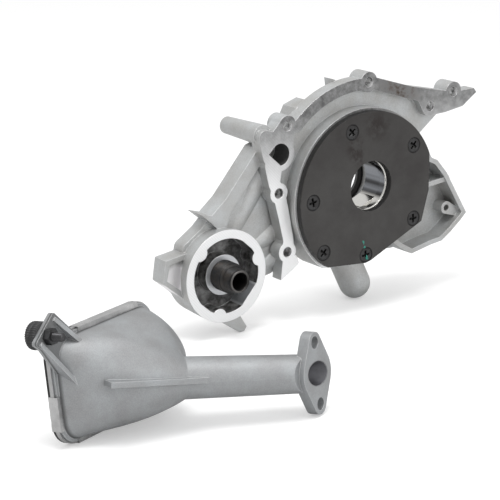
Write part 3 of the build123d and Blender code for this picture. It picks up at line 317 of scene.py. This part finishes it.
def grid_faces(rows, cols, wrap_rows=False, wrap_cols=False, copies=1):
    """Quads between neighbours of a rows by cols grid, numbered row by row; a wrapped
    direction joins its last line to its first, and copies repeats the grid."""
    row, col = np.meshgrid(np.arange(rows - (not wrap_rows)), np.arange(cols - (not wrap_cols)),
                           indexing="ij")
    below, beside = (row + 1) % rows, (col + 1) % cols
    corners = (row * cols + col, below * cols + col, below * cols + beside, row * cols + beside)
    quads = np.stack(corners, -1).reshape(-1, 4)
    return (quads[None] + rows * cols * np.arange(copies)[:, None, None]).reshape(-1, 4)


def cup_flat_points():
    """Rows from the chord out to the round wall, the columns along it: each point goes from
    its place on the chord straight away from the cup's axis by the gap to the wall."""
    a, b = np.array(CUP_FLAT_ENDS)
    chord = a + (b - a) * np.linspace(0, 1, CUP_FLAT_COLUMNS)[:, None]
    out = chord - np.array(FILTER_AXIS)
    out = out / np.linalg.norm(out, axis=1)[:, None]
    wall = np.array(FILTER_AXIS) + out * (CUP_RADIUS + INTO_WALL)
    x, z = np.concatenate([chord, wall[::-1]]).T[:, None]
    y = np.array([[GASKET_Y + BELOW_FACE], [CUP_FLOOR_Y + INTO_FLOOR]])
    return np.stack(np.broadcast_arrays(x, y, z), -1)


milled_flat, g, place = new_material("milled_flat")
lines = g.add("TexWave", {"Vector": place, "Scale": 420.0, "Distortion": 0.6},
              bands_direction="Y").outputs["Fac"]
tone = g.mix(lines, FLAT_GROOVE, FLAT_RIDGE)
# Painted highlights along the two corners where the flat meets the round wall.
for corner in CUP_FLAT_CORNERS:
    tone = g.mix(g.near_axis(place, corner, 0.0008, 0.0014), tone, FLAT_CORNER_HIGHLIGHT)
tone = g.mix(g.math("LESS_THAN", g.axes(place)["Y"], 0.0002), tone, MILLED_GREY)
finish_metal(g, tone, 0.33, 0.7, height=lines, strength=0.12, distance=0.0001, edge=0.0008)
flat = cup_flat_points()
count = flat.shape[1]
sides = grid_faces(2, count, wrap_cols=True)
strip = np.arange(count // 2 - 1)
cap = np.stack([strip, strip + 1, count - 2 - strip, count - 1 - strip], -1)
build_piece("filter_cup_flat", flat, np.concatenate([sides, cap, cap + count]), milled_flat,
            smooth=False)

# Filter nipple: turned steel tube, chemically blackened, threaded on its thick collar and,
# 3/4 inch across for the filter, on its free end. It is screwed into the filter head.
THREAD_PITCH, THREAD_DEPTH, NIPPLE_SIDES = 0.0015875, 0.0008, 96
NIPPLE_TIP_Y, NIPPLE_BACK_Y, COLLAR_FRONT_Y = -0.0190, 0.0190, -0.0080
COLLAR_RADIUS, TIP_RADIUS, SHANK_RADIUS, NIPPLE_BORE = 0.0123, 0.009495, 0.0092, 0.0072
BLACKED, BLACKED_BROWN = (0.038, 0.039, 0.041), (0.058, 0.050, 0.044)
WORN_TIP, THREAD_ROOT_SHADE, DEEP_SHADE_PAINT = (0.125, 0.12, 0.115), (0.008, 0.008, 0.008), (0.006, 0.006, 0.006)


def threaded(profile, pitch, depth, centre, sides):
    """Turned tube or bar on an axis along Y through centre (X, Z). profile lists rows of
    radius, Y and 1 where a thread is cut; there the radius drops by a triangle wave of
    depth, whose phase is the angle's share of a turn plus the number of pitches along Y."""
    radius, y, cut = np.array(profile).T[:, :, None]
    angle = np.linspace(0, 2 * np.pi, sides, endpoint=False)[None]
    wave = np.abs(2 * np.mod(y / pitch + angle / (2 * np.pi), 1.0) - 1)
    r = radius - depth * cut * wave
    x, z = centre[0] + r * np.cos(angle), centre[1] + r * np.sin(angle)
    return np.stack([x, y + 0 * angle, z], -1)


def run(radius, start, end, steps, cut=0.0):
    """Rows of a profile along Y at one radius."""
    return [(radius, y, cut) for y in np.linspace(start, end, steps)]


def dark_metal(name, colour, stain, rough, metallic=0.35, scale=28.0, deep=None, tip=None, thread=None):
    """Dark coated steel with cloudy stains and fine grain. deep, a height along Y, paints nearly
    black shade on all that lies further in than it; tip makes the front end paler, as from wear.
    thread, an axis (X, Z) and a pitch, paints shade into the roots that threaded() cuts with them."""
    material, g, place = new_material(name)
    y = g.axes(place)["Y"]
    clouds = g.noise(place, scale, 6.0, 0.65)
    tint = g.mix(g.remap(clouds, 0.42, 0.68, 0.0, 1.0), colour, stain)
    if deep is not None:
        tint = g.mix(g.remap(y, deep, deep + 0.0006, 0.0, 1.0), tint, DEEP_SHADE_PAINT)
    if tip is not None:
        tint = g.mix(g.remap(y, tip + 0.0004, tip + 0.0012, 1.0, 0.0), tint, WORN_TIP)
    if thread is not None:
        (x, z), pitch = thread
        around = g.add("VectorMath", {0: place, 1: (x, 0.0, z)}, operation="SUBTRACT").outputs[0]
        around = g.axes(around)
        turned = g.math("DIVIDE", g.math("ARCTAN2", around["Z"], around["X"]), 2 * np.pi)
        phase = g.math("FRACT", g.math("ADD", g.math("DIVIDE", y, pitch), turned))
        wave = g.math("ABSOLUTE", g.math("SUBTRACT", g.math("MULTIPLY", phase, 2.0), 1.0))
        tint = g.mix(g.remap(wave, 0.4, 0.9, 0.0, 0.85), tint, THREAD_ROOT_SHADE)
    finish_metal(g, tint, g.remap(clouds, 0.3, 0.7, rough - 0.05, rough + 0.07), metallic,
                 height=g.noise(place, 2200.0, 2.0), strength=0.25, distance=0.0002, edge=0.0003)
    return material


collar = (run(COLLAR_RADIUS, SEAT_Y, COLLAR_FRONT_Y + 0.0012, 74, 1.0)
          + [(COLLAR_RADIUS - 0.0009, COLLAR_FRONT_Y + 0.0003, 0.0)])
free_end = ([(TIP_RADIUS + 0.0004, COLLAR_FRONT_Y, 0.0)]
            + run(TIP_RADIUS, COLLAR_FRONT_Y - 0.0004, NIPPLE_TIP_Y + 0.0022, 56, 1.0)
            + [(TIP_RADIUS - 0.0003, NIPPLE_TIP_Y + 0.0012, 0.0),
               (TIP_RADIUS - 0.0009, NIPPLE_TIP_Y, 0.0)])
bore = ([(NIPPLE_BORE + 0.0004, NIPPLE_TIP_Y, 0.0)]
        + run(NIPPLE_BORE, NIPPLE_TIP_Y + 0.0005, NIPPLE_BACK_Y, 12))
shank = run(SHANK_RADIUS, NIPPLE_BACK_Y, SEAT_Y, 12)
tube = threaded(collar + free_end + bore + shank, THREAD_PITCH, THREAD_DEPTH, FILTER_AXIS, NIPPLE_SIDES)
# The thread's roots get painted shade.
black_nipple = dark_metal("black_nipple", BLACKED, BLACKED_BROWN, 0.36, metallic=0.7, scale=110.0,
                          tip=NIPPLE_TIP_Y, thread=(FILTER_AXIS, THREAD_PITCH))
nipple = build_piece("threaded_nipple", tube, grid_faces(*tube.shape[:2], True, True), black_nipple)
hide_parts("filter_nipple")

# Cover plate: ground steel, phosphated charcoal black, screwed over the rotors' pocket. It has
# darker oily patches by its top and a thin ring of painted shade round each countersink.
SCREW_CENTRES = ((-0.0202, 0.0470), (0.0444, 0.0287), (-0.0587, -0.0056), (0.0457, -0.0338),
                 (-0.0476, -0.0488), (-0.0041, -0.0575))
PLATE_FACE_Y = -0.0120
OIL_PATCHES = (((-0.0170, 0.0350), 0.004, 0.008), ((-0.0142, 0.0253), 0.002, 0.008),
               ((0.0050, 0.0500), 0.004, 0.012))     # centre, reach and soft edge
PLATE_BLACK, PLATE_CLOUD = (0.056, 0.054, 0.052), (0.040, 0.037, 0.036)
PLATE_OIL, PLATE_TOP, PLATE_EDGE = (0.018, 0.012, 0.011), (0.020, 0.017, 0.016), (0.012, 0.012, 0.012)
SINK_RADIUS = 0.0066

black_plate, g, place = new_material("black_plate")
clouds = g.noise(place, 30.0, 6.0, 0.65)
wisps = g.noise(place, 130.0, 5.0, 0.7)
tint = g.mix(g.remap(clouds, 0.40, 0.66, 0.0, 1.0), PLATE_BLACK, PLATE_CLOUD)
for centre, reach, edge in OIL_PATCHES:
    wet = g.all_of(g.near_axis(place, centre, reach, edge), g.remap(wisps, 0.42, 0.56, 0.0, 0.9))
    tint = g.mix(wet, tint, PLATE_OIL)
# Painted shade in the gap round each countersink.
for centre in SCREW_CENTRES:
    tint = g.mix(g.near_axis(place, centre, SINK_RADIUS, 0.0004), tint, DEEP_SHADE_PAINT)
parts = g.axes(place)
tint = g.mix(g.remap(parts["Z"], 0.0, 0.06, 0.0, 0.35), tint, PLATE_TOP)
behind_face = g.remap(parts["Y"], PLATE_FACE_Y + 0.0003, PLATE_FACE_Y + 0.0012, 0.0, 0.75)
tint = g.mix(behind_face, tint, PLATE_EDGE)
finish_metal(g, tint, g.remap(wisps, 0.3, 0.7, 0.42, 0.56), 0.35,
             height=g.noise(place, 2200.0, 2.0), strength=0.22, distance=0.0002, edge=0.0005)
dress("cover_plate", black_plate)

# Cover screws: six M6 countersunk screws with cross recesses, blackened, standing just below
# the plate's face. Each ended up turned its own way when it was driven home.
SCREW_TOP_Y = PLATE_FACE_Y + 0.0003
SCREW_TURNS = (38.0, 52.0, 12.0, 3.0, 48.0, 8.0)
HEAD_RADIUS, SHANK_R, SCREW_LENGTH = 0.0059, 0.00295, 0.0160
WING_LENGTH, WING_WIDTH, WING_SLOPE, RECESS_DEPTH = 0.0037, 0.00085, 0.0003, 0.0026
METRIC_PITCH, METRIC_DEPTH, SCREW_SIDES = 0.0010, 0.0003, 128
SCREW_BLACK, SCREW_STAIN = (0.055, 0.055, 0.056), (0.032, 0.030, 0.030)


def screw_points(turn):
    """Turned screw with a recess: the top's rows run from the centre to the rim, and there
    the surface sinks by the recess's depth wherever the point is inside one of two crossed
    bars, with sloping sides; below come the cone, the threaded shank and the closed tip."""
    top = [(r, SCREW_TOP_Y, 0.0) for r in np.linspace(0, HEAD_RADIUS - 0.0003, 44)]
    cone = [(HEAD_RADIUS, SCREW_TOP_Y + 0.0003, 0.0), (SHANK_R, SCREW_TOP_Y + 0.0030, 0.0)]
    end = SCREW_TOP_Y + SCREW_LENGTH
    stem = run(SHANK_R, SCREW_TOP_Y + 0.0031, end - 0.0006, 78, 1.0)
    tip = [(SHANK_R - 0.0006, end, 0.0), (0.0, end, 0.0)]
    points = threaded(top + cone + stem + tip, METRIC_PITCH, METRIC_DEPTH, (0.0, 0.0), SCREW_SIDES)
    angle = np.radians(turn)
    u = np.abs(points[..., 0] * np.cos(angle) + points[..., 2] * np.sin(angle))
    v = np.abs(points[..., 2] * np.cos(angle) - points[..., 0] * np.sin(angle))
    bars = [np.clip((WING_WIDTH - a) / WING_SLOPE + 0.5, 0, 1)
            * np.clip((WING_LENGTH - b) / WING_SLOPE + 0.5, 0, 1) for a, b in ((u, v), (v, u))]
    sink = np.maximum(*bars) * (RECESS_DEPTH - 0.35 * np.hypot(u, v))
    points[:len(top), :, 1] += sink[:len(top)]
    return points


screws = np.stack([screw_points(turn) + (x, 0.0, z) for (x, z), turn in zip(SCREW_CENTRES, SCREW_TURNS)])
screw_faces = grid_faces(*screws.shape[1:3], False, True, copies=len(screws))
# Painted shade fills the cross recesses below the screw tops.
black_screw = dark_metal("black_screw", SCREW_BLACK, SCREW_STAIN, 0.34, metallic=0.7, scale=300.0,
                         deep=SCREW_TOP_Y + 0.0004)
screw_set = build_piece("cover_screw_set", screws, screw_faces, black_screw)
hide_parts("cover_screws")

# Paint dabs: teal marking paint, brushed on by hand across the lowest screw once it was
# tightened, and left in two small streaks on the plate.
DABS = ((-0.0070, -0.0462, 0.0009, 0.0021, 20.0), (-0.0058, -0.0505, 0.0011, 0.0013, -30.0),
        (-0.0030, -0.0600, 0.0012, 0.0020, 10.0))     # X, Z, half width, half height, lean
PAINT_THICKNESS, PAINT_ROOT = 0.00012, 0.0004
PAINT_SHADE, PAINT_TEAL = (0.01, 0.10, 0.08), (0.03, 0.30, 0.23)


def dab_points(x, z, half_width, half_height, lean, rings=9, sides=40):
    """Thin dome over a wavy ellipse: radius is the ring's share of the rim, whose size swells
    with three and with five waves round it; height falls as one minus the share to the
    fourth, and the rim is rooted in what it lies on."""
    share = np.linspace(0, 1, rings)[:, None]
    angle = np.linspace(0, 2 * np.pi, sides, endpoint=False)[None]
    rim = 1 + 0.18 * np.sin(3 * angle + lean) + 0.10 * np.sin(5 * angle)
    a, b = share * rim * half_width * np.cos(angle), share * rim * half_height * np.sin(angle)
    tilt = np.radians(lean)
    y = PLATE_FACE_Y - PAINT_THICKNESS * (1 - share ** 4) + PAINT_ROOT * (share == 1) + 0 * angle
    across, upward = a * np.cos(tilt) - b * np.sin(tilt), a * np.sin(tilt) + b * np.cos(tilt)
    return np.stack([x + across, y, z + upward], -1)


paint, g, place = new_material("marking_paint")
streak = g.noise(place, 900.0, 4.0)
shader = g.add("BsdfPrincipled", {
    "Base Color": g.mix(g.remap(streak, 0.35, 0.65, 0.0, 1.0), PAINT_SHADE, PAINT_TEAL),
    "Roughness": 0.38,
    "Normal": g.add("Bump", {"Height": streak, "Strength": 0.4, "Distance": 0.0001}).outputs[0]})
g.add("OutputMaterial", {"Surface": shader.outputs[0]})
dabs = np.stack([dab_points(*dab) for dab in DABS])
build_piece("paint_dabs", dabs, grid_faces(*dabs.shape[1:3], False, True, copies=len(dabs)), paint)

# Rotors: the outer one is sintered steel in its pocket. The inner one is dark oily steel, with
# a painted highlight on its rim and low in its bore, and painted streaks of sheen in the bore.
# The crank drives it by its flats.
SINTERED, ROTOR_HIGHLIGHT = (0.14, 0.135, 0.128), (0.70, 0.69, 0.66)
BORE_OIL, BORE_SHEEN = (0.030, 0.029, 0.028), (0.25, 0.26, 0.28)
ROTOR_RIM_Y, ROTOR_HIGHLIGHT_Z = -0.0046, -0.0125


def bare_steel(name, colour, rough):
    """Ground or plated steel in cloudy tones, with streaks squeezed to thin layers across Y."""
    material, g, place = new_material(name)
    layers = g.add("Mapping", {"Vector": place, "Scale": (1.0, 12.0, 1.0)}).outputs[0]
    streaks = g.noise(layers, 900.0, 2.0)
    clouds = g.remap(g.noise(place, 70.0), 0.35, 0.65, 0.0, 1.0)
    tint = g.mix(clouds, tuple(0.7 * c for c in colour), colour)
    finish_metal(g, tint, g.remap(streaks, 0.3, 0.7, rough - 0.06, rough + 0.06), 1.0,
                 height=streaks, strength=0.2, distance=0.0001, edge=0.0003)
    return material


dress("outer_rotor", bare_steel("sintered_steel", SINTERED, 0.2))
driven_steel, g, place = new_material("driven_steel")
stretched = g.add("Mapping", {"Vector": place, "Scale": (1.0, 0.02, 1.0)}).outputs[0]
long_streaks = g.noise(stretched, 90.0, 2.0)
parts = g.axes(place)
# Painted streaks of sheen in the bore, and a painted highlight on the front rim and low in it.
tint = g.mix(g.remap(long_streaks, 0.42, 0.62, 0.0, 1.0), BORE_OIL, BORE_SHEEN)
rotor_highlight = g.any_of(g.remap(parts["Z"], ROTOR_HIGHLIGHT_Z - 0.002, ROTOR_HIGHLIGHT_Z + 0.001, 1.0, 0.0),
                    g.math("LESS_THAN", parts["Y"], ROTOR_RIM_Y))
finish_metal(g, g.mix(rotor_highlight, tint, ROTOR_HIGHLIGHT), 0.16, 1.0, height=long_streaks, strength=0.2,
             distance=0.0001, edge=0.0003)
dress("inner_rotor", driven_steel)

# Crank seal: a pressed steel case with a rubber lip moulded into it. A wire spring presses
# the lip on the crank. The case is pushed into the housing.
SEAL_STEEL, SPRING_STEEL = (0.38, 0.38, 0.39), (0.45, 0.45, 0.45)
SEAL_RUBBER, SEAL_RUBBER_SHADE = (0.020, 0.019, 0.018), (0.012, 0.012, 0.012)
dress("crank_seal_case", bare_steel("seal_case_steel", SEAL_STEEL, 0.4))
dress("crank_seal_lip", dark_metal("seal_rubber", SEAL_RUBBER, SEAL_RUBBER_SHADE, 0.55, metallic=0.0))
wire = bare_steel("spring_steel", SPRING_STEEL, 0.3)
dress("crank_seal_spring", wire)

# Plugs and relief piston: zinc-plated steel plugs close the filter head's back and the relief
# bore, over an aluminium washer. The hardened piston slides in that bore.
ZINC, WASHER_ALUMINIUM = (0.58, 0.58, 0.56), (0.7, 0.7, 0.7)
zinc = bare_steel("zinc_steel", ZINC, 0.35)
dress("core_plug", zinc)
dress("relief_plug", zinc)
dress("relief_piston", wire)
dress("relief_plug_washer", bare_steel("washer_aluminium", WASHER_ALUMINIUM, 0.45))

# Relief spring: a coil of round steel wire with closed ends, between the floor of the piston's
# skirt and the blind end of its bore. It shortens as the piston slides in.
RELIEF_MOUTH, RELIEF_RUN = np.array((-0.04763, 0.0270, -0.00055)), np.array((0.5592, 0.0, -0.8290))
COIL_START, COIL_END = 0.0214, 0.0799     # along the bore from its mouth
COIL_RADIUS, COIL_WIRE, COIL_TURNS = 0.0039, 0.0008, 9
CLOSED_PITCH = 2.1 * COIL_WIRE


def coil_points(steps=48, sides=12):
    """A circle of the wire's radius carried along a helix. The helix rises by a closed turn's
    pitch everywhere and by a share that grows as one minus a cosine towards its middle; the
    wire's radius drops to nothing at both ends."""
    turn = np.linspace(0, COIL_TURNS, COIL_TURNS * steps + 1)
    share = turn / COIL_TURNS
    spare = COIL_END - COIL_START - 2 * COIL_WIRE - CLOSED_PITCH * COIL_TURNS
    opened = spare * (share - np.sin(2 * np.pi * share) / (2 * np.pi))
    along = COIL_START + COIL_WIRE + CLOSED_PITCH * turn + opened
    turn, along = np.pad(turn, 1, "edge")[:, None], np.pad(along, 1, "edge")[:, None, None]
    size = np.pad(np.full(COIL_TURNS * steps + 1, COIL_WIRE), 1)[:, None]
    out = (np.cos(2 * np.pi * turn)[..., None] * np.array((0.0, 1.0, 0.0))
           + np.sin(2 * np.pi * turn)[..., None] * np.cross(RELIEF_RUN, (0.0, 1.0, 0.0)))
    angle = np.linspace(0, 2 * np.pi, sides, endpoint=False)
    return (RELIEF_MOUTH + (along + (size * np.sin(angle))[..., None]) * RELIEF_RUN
            + (COIL_RADIUS + size * np.cos(angle))[..., None] * out)


coil = coil_points()
spring = build_piece("relief_coil", coil, grid_faces(*coil.shape[:2], False, True), wire)
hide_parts("relief_spring")
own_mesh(spring)

# Pickup: one aluminium casting, blasted to a cooler and smoother grey than the housing, with
# a dark band round its rim beside the strainer's frame, and a dark bore.
PICKUP_AT = np.array((-0.3109, -0.1059, -0.0686))
PICKUP_AXES = np.array(((0.92718, 0.37461, 0.0), (-0.04565, 0.11299, 0.99255),
                        (0.37182, -0.92027, 0.12187)))     # its own X, Y and Z
TUBE_MOUTH, TUBE_RUN, BORE_RADIUS = (0.0944, -0.0218, 0.1150), (0.0681, -0.0122, 0.0650), 0.0088
RIM_BAND_START, RIM_BAND_END = (0.0060, 0.0066), (0.0072, 0.0092)     # heights along its own Z
PICKUP_SKIN, PICKUP_SHADE, RIM_BAND_DARK = (0.415, 0.432, 0.445), (0.325, 0.327, 0.33), (0.06, 0.06, 0.06)
PICKUP_BORE_DARK, PICKUP_BORE_GREY = (0.02, 0.02, 0.025), (0.11, 0.11, 0.12)


def from_pickup(points):
    """Carries points from the pickup's own frame, in metres, to their place."""
    return PICKUP_AT + np.asarray(points) @ PICKUP_AXES


def pickup_height(g, place):
    """Height along the pickup's own Z."""
    return g.math("SUBTRACT", g.dot(place, tuple(PICKUP_AXES[2])), float(PICKUP_AT @ PICKUP_AXES[2]))


pickup_aluminium, g, place = new_material("pickup_aluminium")
skin, grain = blasted_skin(g, place, PICKUP_SKIN, PICKUP_SHADE, 1900.0)
level = pickup_height(g, place)
in_rim_band = g.all_of(g.remap(level, *RIM_BAND_START, 0.0, 0.75), g.remap(level, *RIM_BAND_END, 1.0, 0.0))
skin = g.mix(in_rim_band, skin, RIM_BAND_DARK)
tube_run = np.array(TUBE_RUN) @ PICKUP_AXES / np.linalg.norm(TUBE_RUN)
from_mouth = g.add("VectorMath", {0: place, 1: tuple(from_pickup(TUBE_MOUTH))}, operation="SUBTRACT")
aside = g.add("VectorMath", {0: from_mouth.outputs[0], 1: tuple(tube_run)}, operation="CROSS_PRODUCT")
away = g.add("VectorMath", {0: aside.outputs[0]}, operation="LENGTH").outputs["Value"]
inside = g.remap(away, BORE_RADIUS, BORE_RADIUS + 0.0004, 1.0, 0.0)
skin = g.mix(inside, skin, g.mix(grain, PICKUP_BORE_DARK, PICKUP_BORE_GREY))
# The rounded edges get a painted highlight.
finish_metal(g, skin, 0.54, 0.70, height=grain, strength=0.45, distance=0.0003, edge=0.0008,
             edge_highlight_share=0.4)
dress("pickup_body", pickup_aluminium)

# Strainer screen: woven steel wire, two sets of wires that cross over and under each other,
# soldered into the folded frame.
SCREEN_W, SCREEN_H, SCREEN_CORNER, SCREEN_LEVEL = 0.1118, 0.0748, 0.0159, 0.0005
WIRE_PITCH, WIRE_RADIUS, WEAVE = 0.0025, 0.00022, 0.00026
SCREEN_STEEL = (0.45, 0.45, 0.44)


def wire_set(across, along, first_over, sides=6, steps=4):
    """Parallel wires inside a rounded rectangle. A wire's centre line is a cosine wave of one
    period for two crossings, in step or out of step with its neighbour, and a circle of
    the wire's radius is carried along it; the radius drops to nothing at both ends."""
    count = int(across / WIRE_PITCH)
    offset = (np.arange(count) - (count - 1) / 2) * WIRE_PITCH
    into_corner = np.maximum(np.abs(offset) - (across / 2 - SCREEN_CORNER), 0)
    rounding = np.sqrt(np.maximum(SCREEN_CORNER ** 2 - into_corner ** 2, 0))
    reach = (along / 2 - SCREEN_CORNER + rounding)[:, None, None]
    samples = int(along / WIRE_PITCH) * steps + 1
    s = np.pad(np.linspace(-1, 1, samples), 1, "edge")[None, :, None] * reach
    size = np.full(samples + 2, WIRE_RADIUS)
    size[[0, -1]] = 0.0
    phase = np.pi * (s / WIRE_PITCH + np.arange(count)[:, None, None] + first_over)
    angle = np.linspace(0, 2 * np.pi, sides, endpoint=False)[None, None]
    x = offset[:, None, None] + size[None, :, None] * np.cos(angle)
    z = SCREEN_LEVEL + WEAVE * np.cos(phase) + size[None, :, None] * np.sin(angle)
    return x, s + 0 * angle, z


upright = np.stack(wire_set(SCREEN_W, SCREEN_H, 0), -1)
x, y, z = wire_set(SCREEN_H, SCREEN_W, 1)
crosswise = np.stack([y, x, z], -1)
wires = np.concatenate([upright.reshape(-1, 3), crosswise.reshape(-1, 3)])
upright_faces, crosswise_faces = (grid_faces(*points.shape[1:3], False, True, copies=len(points))
                                  for points in (upright, crosswise))
wire_faces = np.concatenate([upright_faces, crosswise_faces + upright.size // 3])
screen = build_piece("woven_screen", from_pickup(wires), wire_faces,
                     bare_steel("screen_steel", SCREEN_STEEL, 0.38))
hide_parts("strainer_screen")

# Strainer frame: a folded sheet whose edge is dark where it ends short of the casting's rim;
# bright tabs are bent up from it and hemmed over the rim on the straight stretches.
MOUTH_HALF_W, MOUTH_HALF_H = 0.0570, 0.0385
SHEET_SHADE, SHEET_GREY, SHEET_EDGE = (0.36, 0.36, 0.36), (0.50, 0.50, 0.50), (0.030, 0.030, 0.030)
TAB_GREY = (0.60, 0.60, 0.60)
TABS = (("y", 1, -0.0270, 0.0400), ("y", -1, -0.0400, -0.0060), ("y", -1, 0.0100, 0.0400),
        ("x", -1, -0.0260, -0.0020), ("x", 1, -0.0180, 0.0200))     # side, start and end
TAB_SECTION = ((0.00002, -0.0010), (0.00030, -0.0010), (0.00030, 0.0062), (0.0, 0.0066),
               (-0.0034, 0.0066), (-0.0034, 0.0061), (-0.0001, 0.0061), (0.00002, 0.0059))
UNEVEN, UNEVEN_WAVES = 0.00012, 900.0     # height, and radians along a metre


def tab_points(axis, side, start, end, steps=14):
    """Section of a tab carried straight along one side of the mouth. The section's first
    number goes out from the side and its second towards the flange; both ends shrink to the
    section's middle, which closes them. A slow sine makes the sheet a little uneven."""
    section = np.array(TAB_SECTION)
    along = np.pad(np.linspace(start, end, steps), 1, "edge")[:, None]
    size = np.ones((steps + 2, 1))
    size[[0, -1]] = 0.0
    middle = section.mean(0)
    out = middle[0] + size * (section[None, :, 0] - middle[0])
    z = middle[1] + size * (section[None, :, 1] - middle[1]) + UNEVEN * np.sin(along * UNEVEN_WAVES)
    half = MOUTH_HALF_W if axis == "x" else MOUTH_HALF_H
    across, along = side * (half + out), along + 0 * out
    return np.stack([across, along, z] if axis == "x" else [along, across, z], -1)


sheet_steel, g, place = new_material("sheet_steel")
streaks = g.noise(place, 500.0, 3.0)
tone = g.mix(streaks, SHEET_SHADE, SHEET_GREY)
turned_up = g.dot(g.add("NewGeometry").outputs["True Normal"], tuple(PICKUP_AXES[2]))
edge = g.all_of(g.remap(pickup_height(g, place), 0.0008, 0.0011, 1.0, 0.0),
                g.math("GREATER_THAN", turned_up, -0.5))
finish_metal(g, g.mix(edge, tone, SHEET_EDGE), 0.4, 0.8, height=streaks, strength=0.2,
             distance=0.0001, edge=0.0003)
dress("strainer_frame", sheet_steel)
tabs = np.stack([tab_points(*tab) for tab in TABS])
build_piece("frame_tabs", from_pickup(tabs), grid_faces(*tabs.shape[1:3], False, True, copies=len(tabs)),
            bare_steel("bright_sheet", TAB_GREY, 0.32), smooth=False)

# Foot: black moulded pad with ribs round its edge, held through the pickup's ear by a stud
# with a rolled thread and a nut, both blackened.
FOOT_CENTRE, FOOT_TOP, FOOT_RADIUS, FOOT_DEPTH = (-0.0595, 0.0410), 0.0040, 0.0097, 0.0090
WAIST_RADIUS, RIBS, RIB_DEPTH = FOOT_RADIUS - 0.0008, 36, 0.0006
STUD_RADIUS, STUD_THREAD_DEPTH, STUD_START, STUD_END = 0.00298, 0.00035, -0.0010, 0.0210
STUD_ROWS, STUD_SIDES = 150, 48
FOOT_BLACK, FOOT_SHADE = (0.035, 0.035, 0.037), (0.020, 0.020, 0.021)
STUD_BLACK, STUD_SHADE = (0.075, 0.075, 0.078), (0.040, 0.040, 0.040)


def foot_points(sides=RIBS * 6):
    """Disc with a chamfer at each end and a narrow waist. Round its edge the radius drops
    between ribs, as the absolute value of a cosine with RIBS humps in a turn."""
    low = FOOT_TOP - FOOT_DEPTH
    lower = [(0.0, low, 0.0), (FOOT_RADIUS - 0.0020, low, 0.0), (FOOT_RADIUS - 0.0006, low + 0.0004, 1.0),
             (FOOT_RADIUS, low + 0.0012, 1.0), (FOOT_RADIUS, low + 0.0040, 1.0)]
    waist = [(WAIST_RADIUS, low + 0.0042, 0.0), (WAIST_RADIUS, low + 0.0050, 0.0)]
    upper = [(FOOT_RADIUS, low + 0.0052, 1.0), (FOOT_RADIUS, FOOT_TOP - 0.0010, 1.0),
             (FOOT_RADIUS - 0.0010, FOOT_TOP, 1.0), (0.0, FOOT_TOP, 0.0)]
    radius, z, rib = np.array(lower + waist + upper).T[:, :, None]
    angle = np.linspace(0, 2 * np.pi, sides, endpoint=False)[None]
    r = radius - RIB_DEPTH * rib * (1 - np.abs(np.cos(RIBS * angle / 2)))
    x, y = FOOT_CENTRE[0] + r * np.cos(angle), FOOT_CENTRE[1] + r * np.sin(angle)
    return np.stack([x, y, z + 0 * angle], -1)


foot = foot_points()
black_foot = dark_metal("black_foot", FOOT_BLACK, FOOT_SHADE, 0.5, metallic=0.0, scale=150.0)
pad = build_piece("ribbed_foot", from_pickup(foot), grid_faces(*foot.shape[:2], False, True),
                  black_foot)
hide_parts("foot_pad")
stem = ([(0.0, STUD_START, 0.0)] + run(STUD_RADIUS, STUD_START, STUD_END - 0.0006, STUD_ROWS, 1.0)
        + [(STUD_RADIUS - 0.0006, STUD_END, 0.0), (0.0, STUD_END, 0.0)])
x, y, z = np.moveaxis(threaded(stem, METRIC_PITCH, STUD_THREAD_DEPTH, (0.0, 0.0), STUD_SIDES), -1, 0)
stud = np.stack([FOOT_CENTRE[0] + x, FOOT_CENTRE[1] + z, y], -1)
black_stud = dark_metal("black_stud", STUD_BLACK, STUD_SHADE, 0.35, metallic=0.8, scale=200.0)
stud_piece = build_piece("threaded_stud", from_pickup(stud), grid_faces(*stud.shape[:2], False, True),
                         black_stud)
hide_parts("foot_stud")
dress("foot_nut", black_stud)
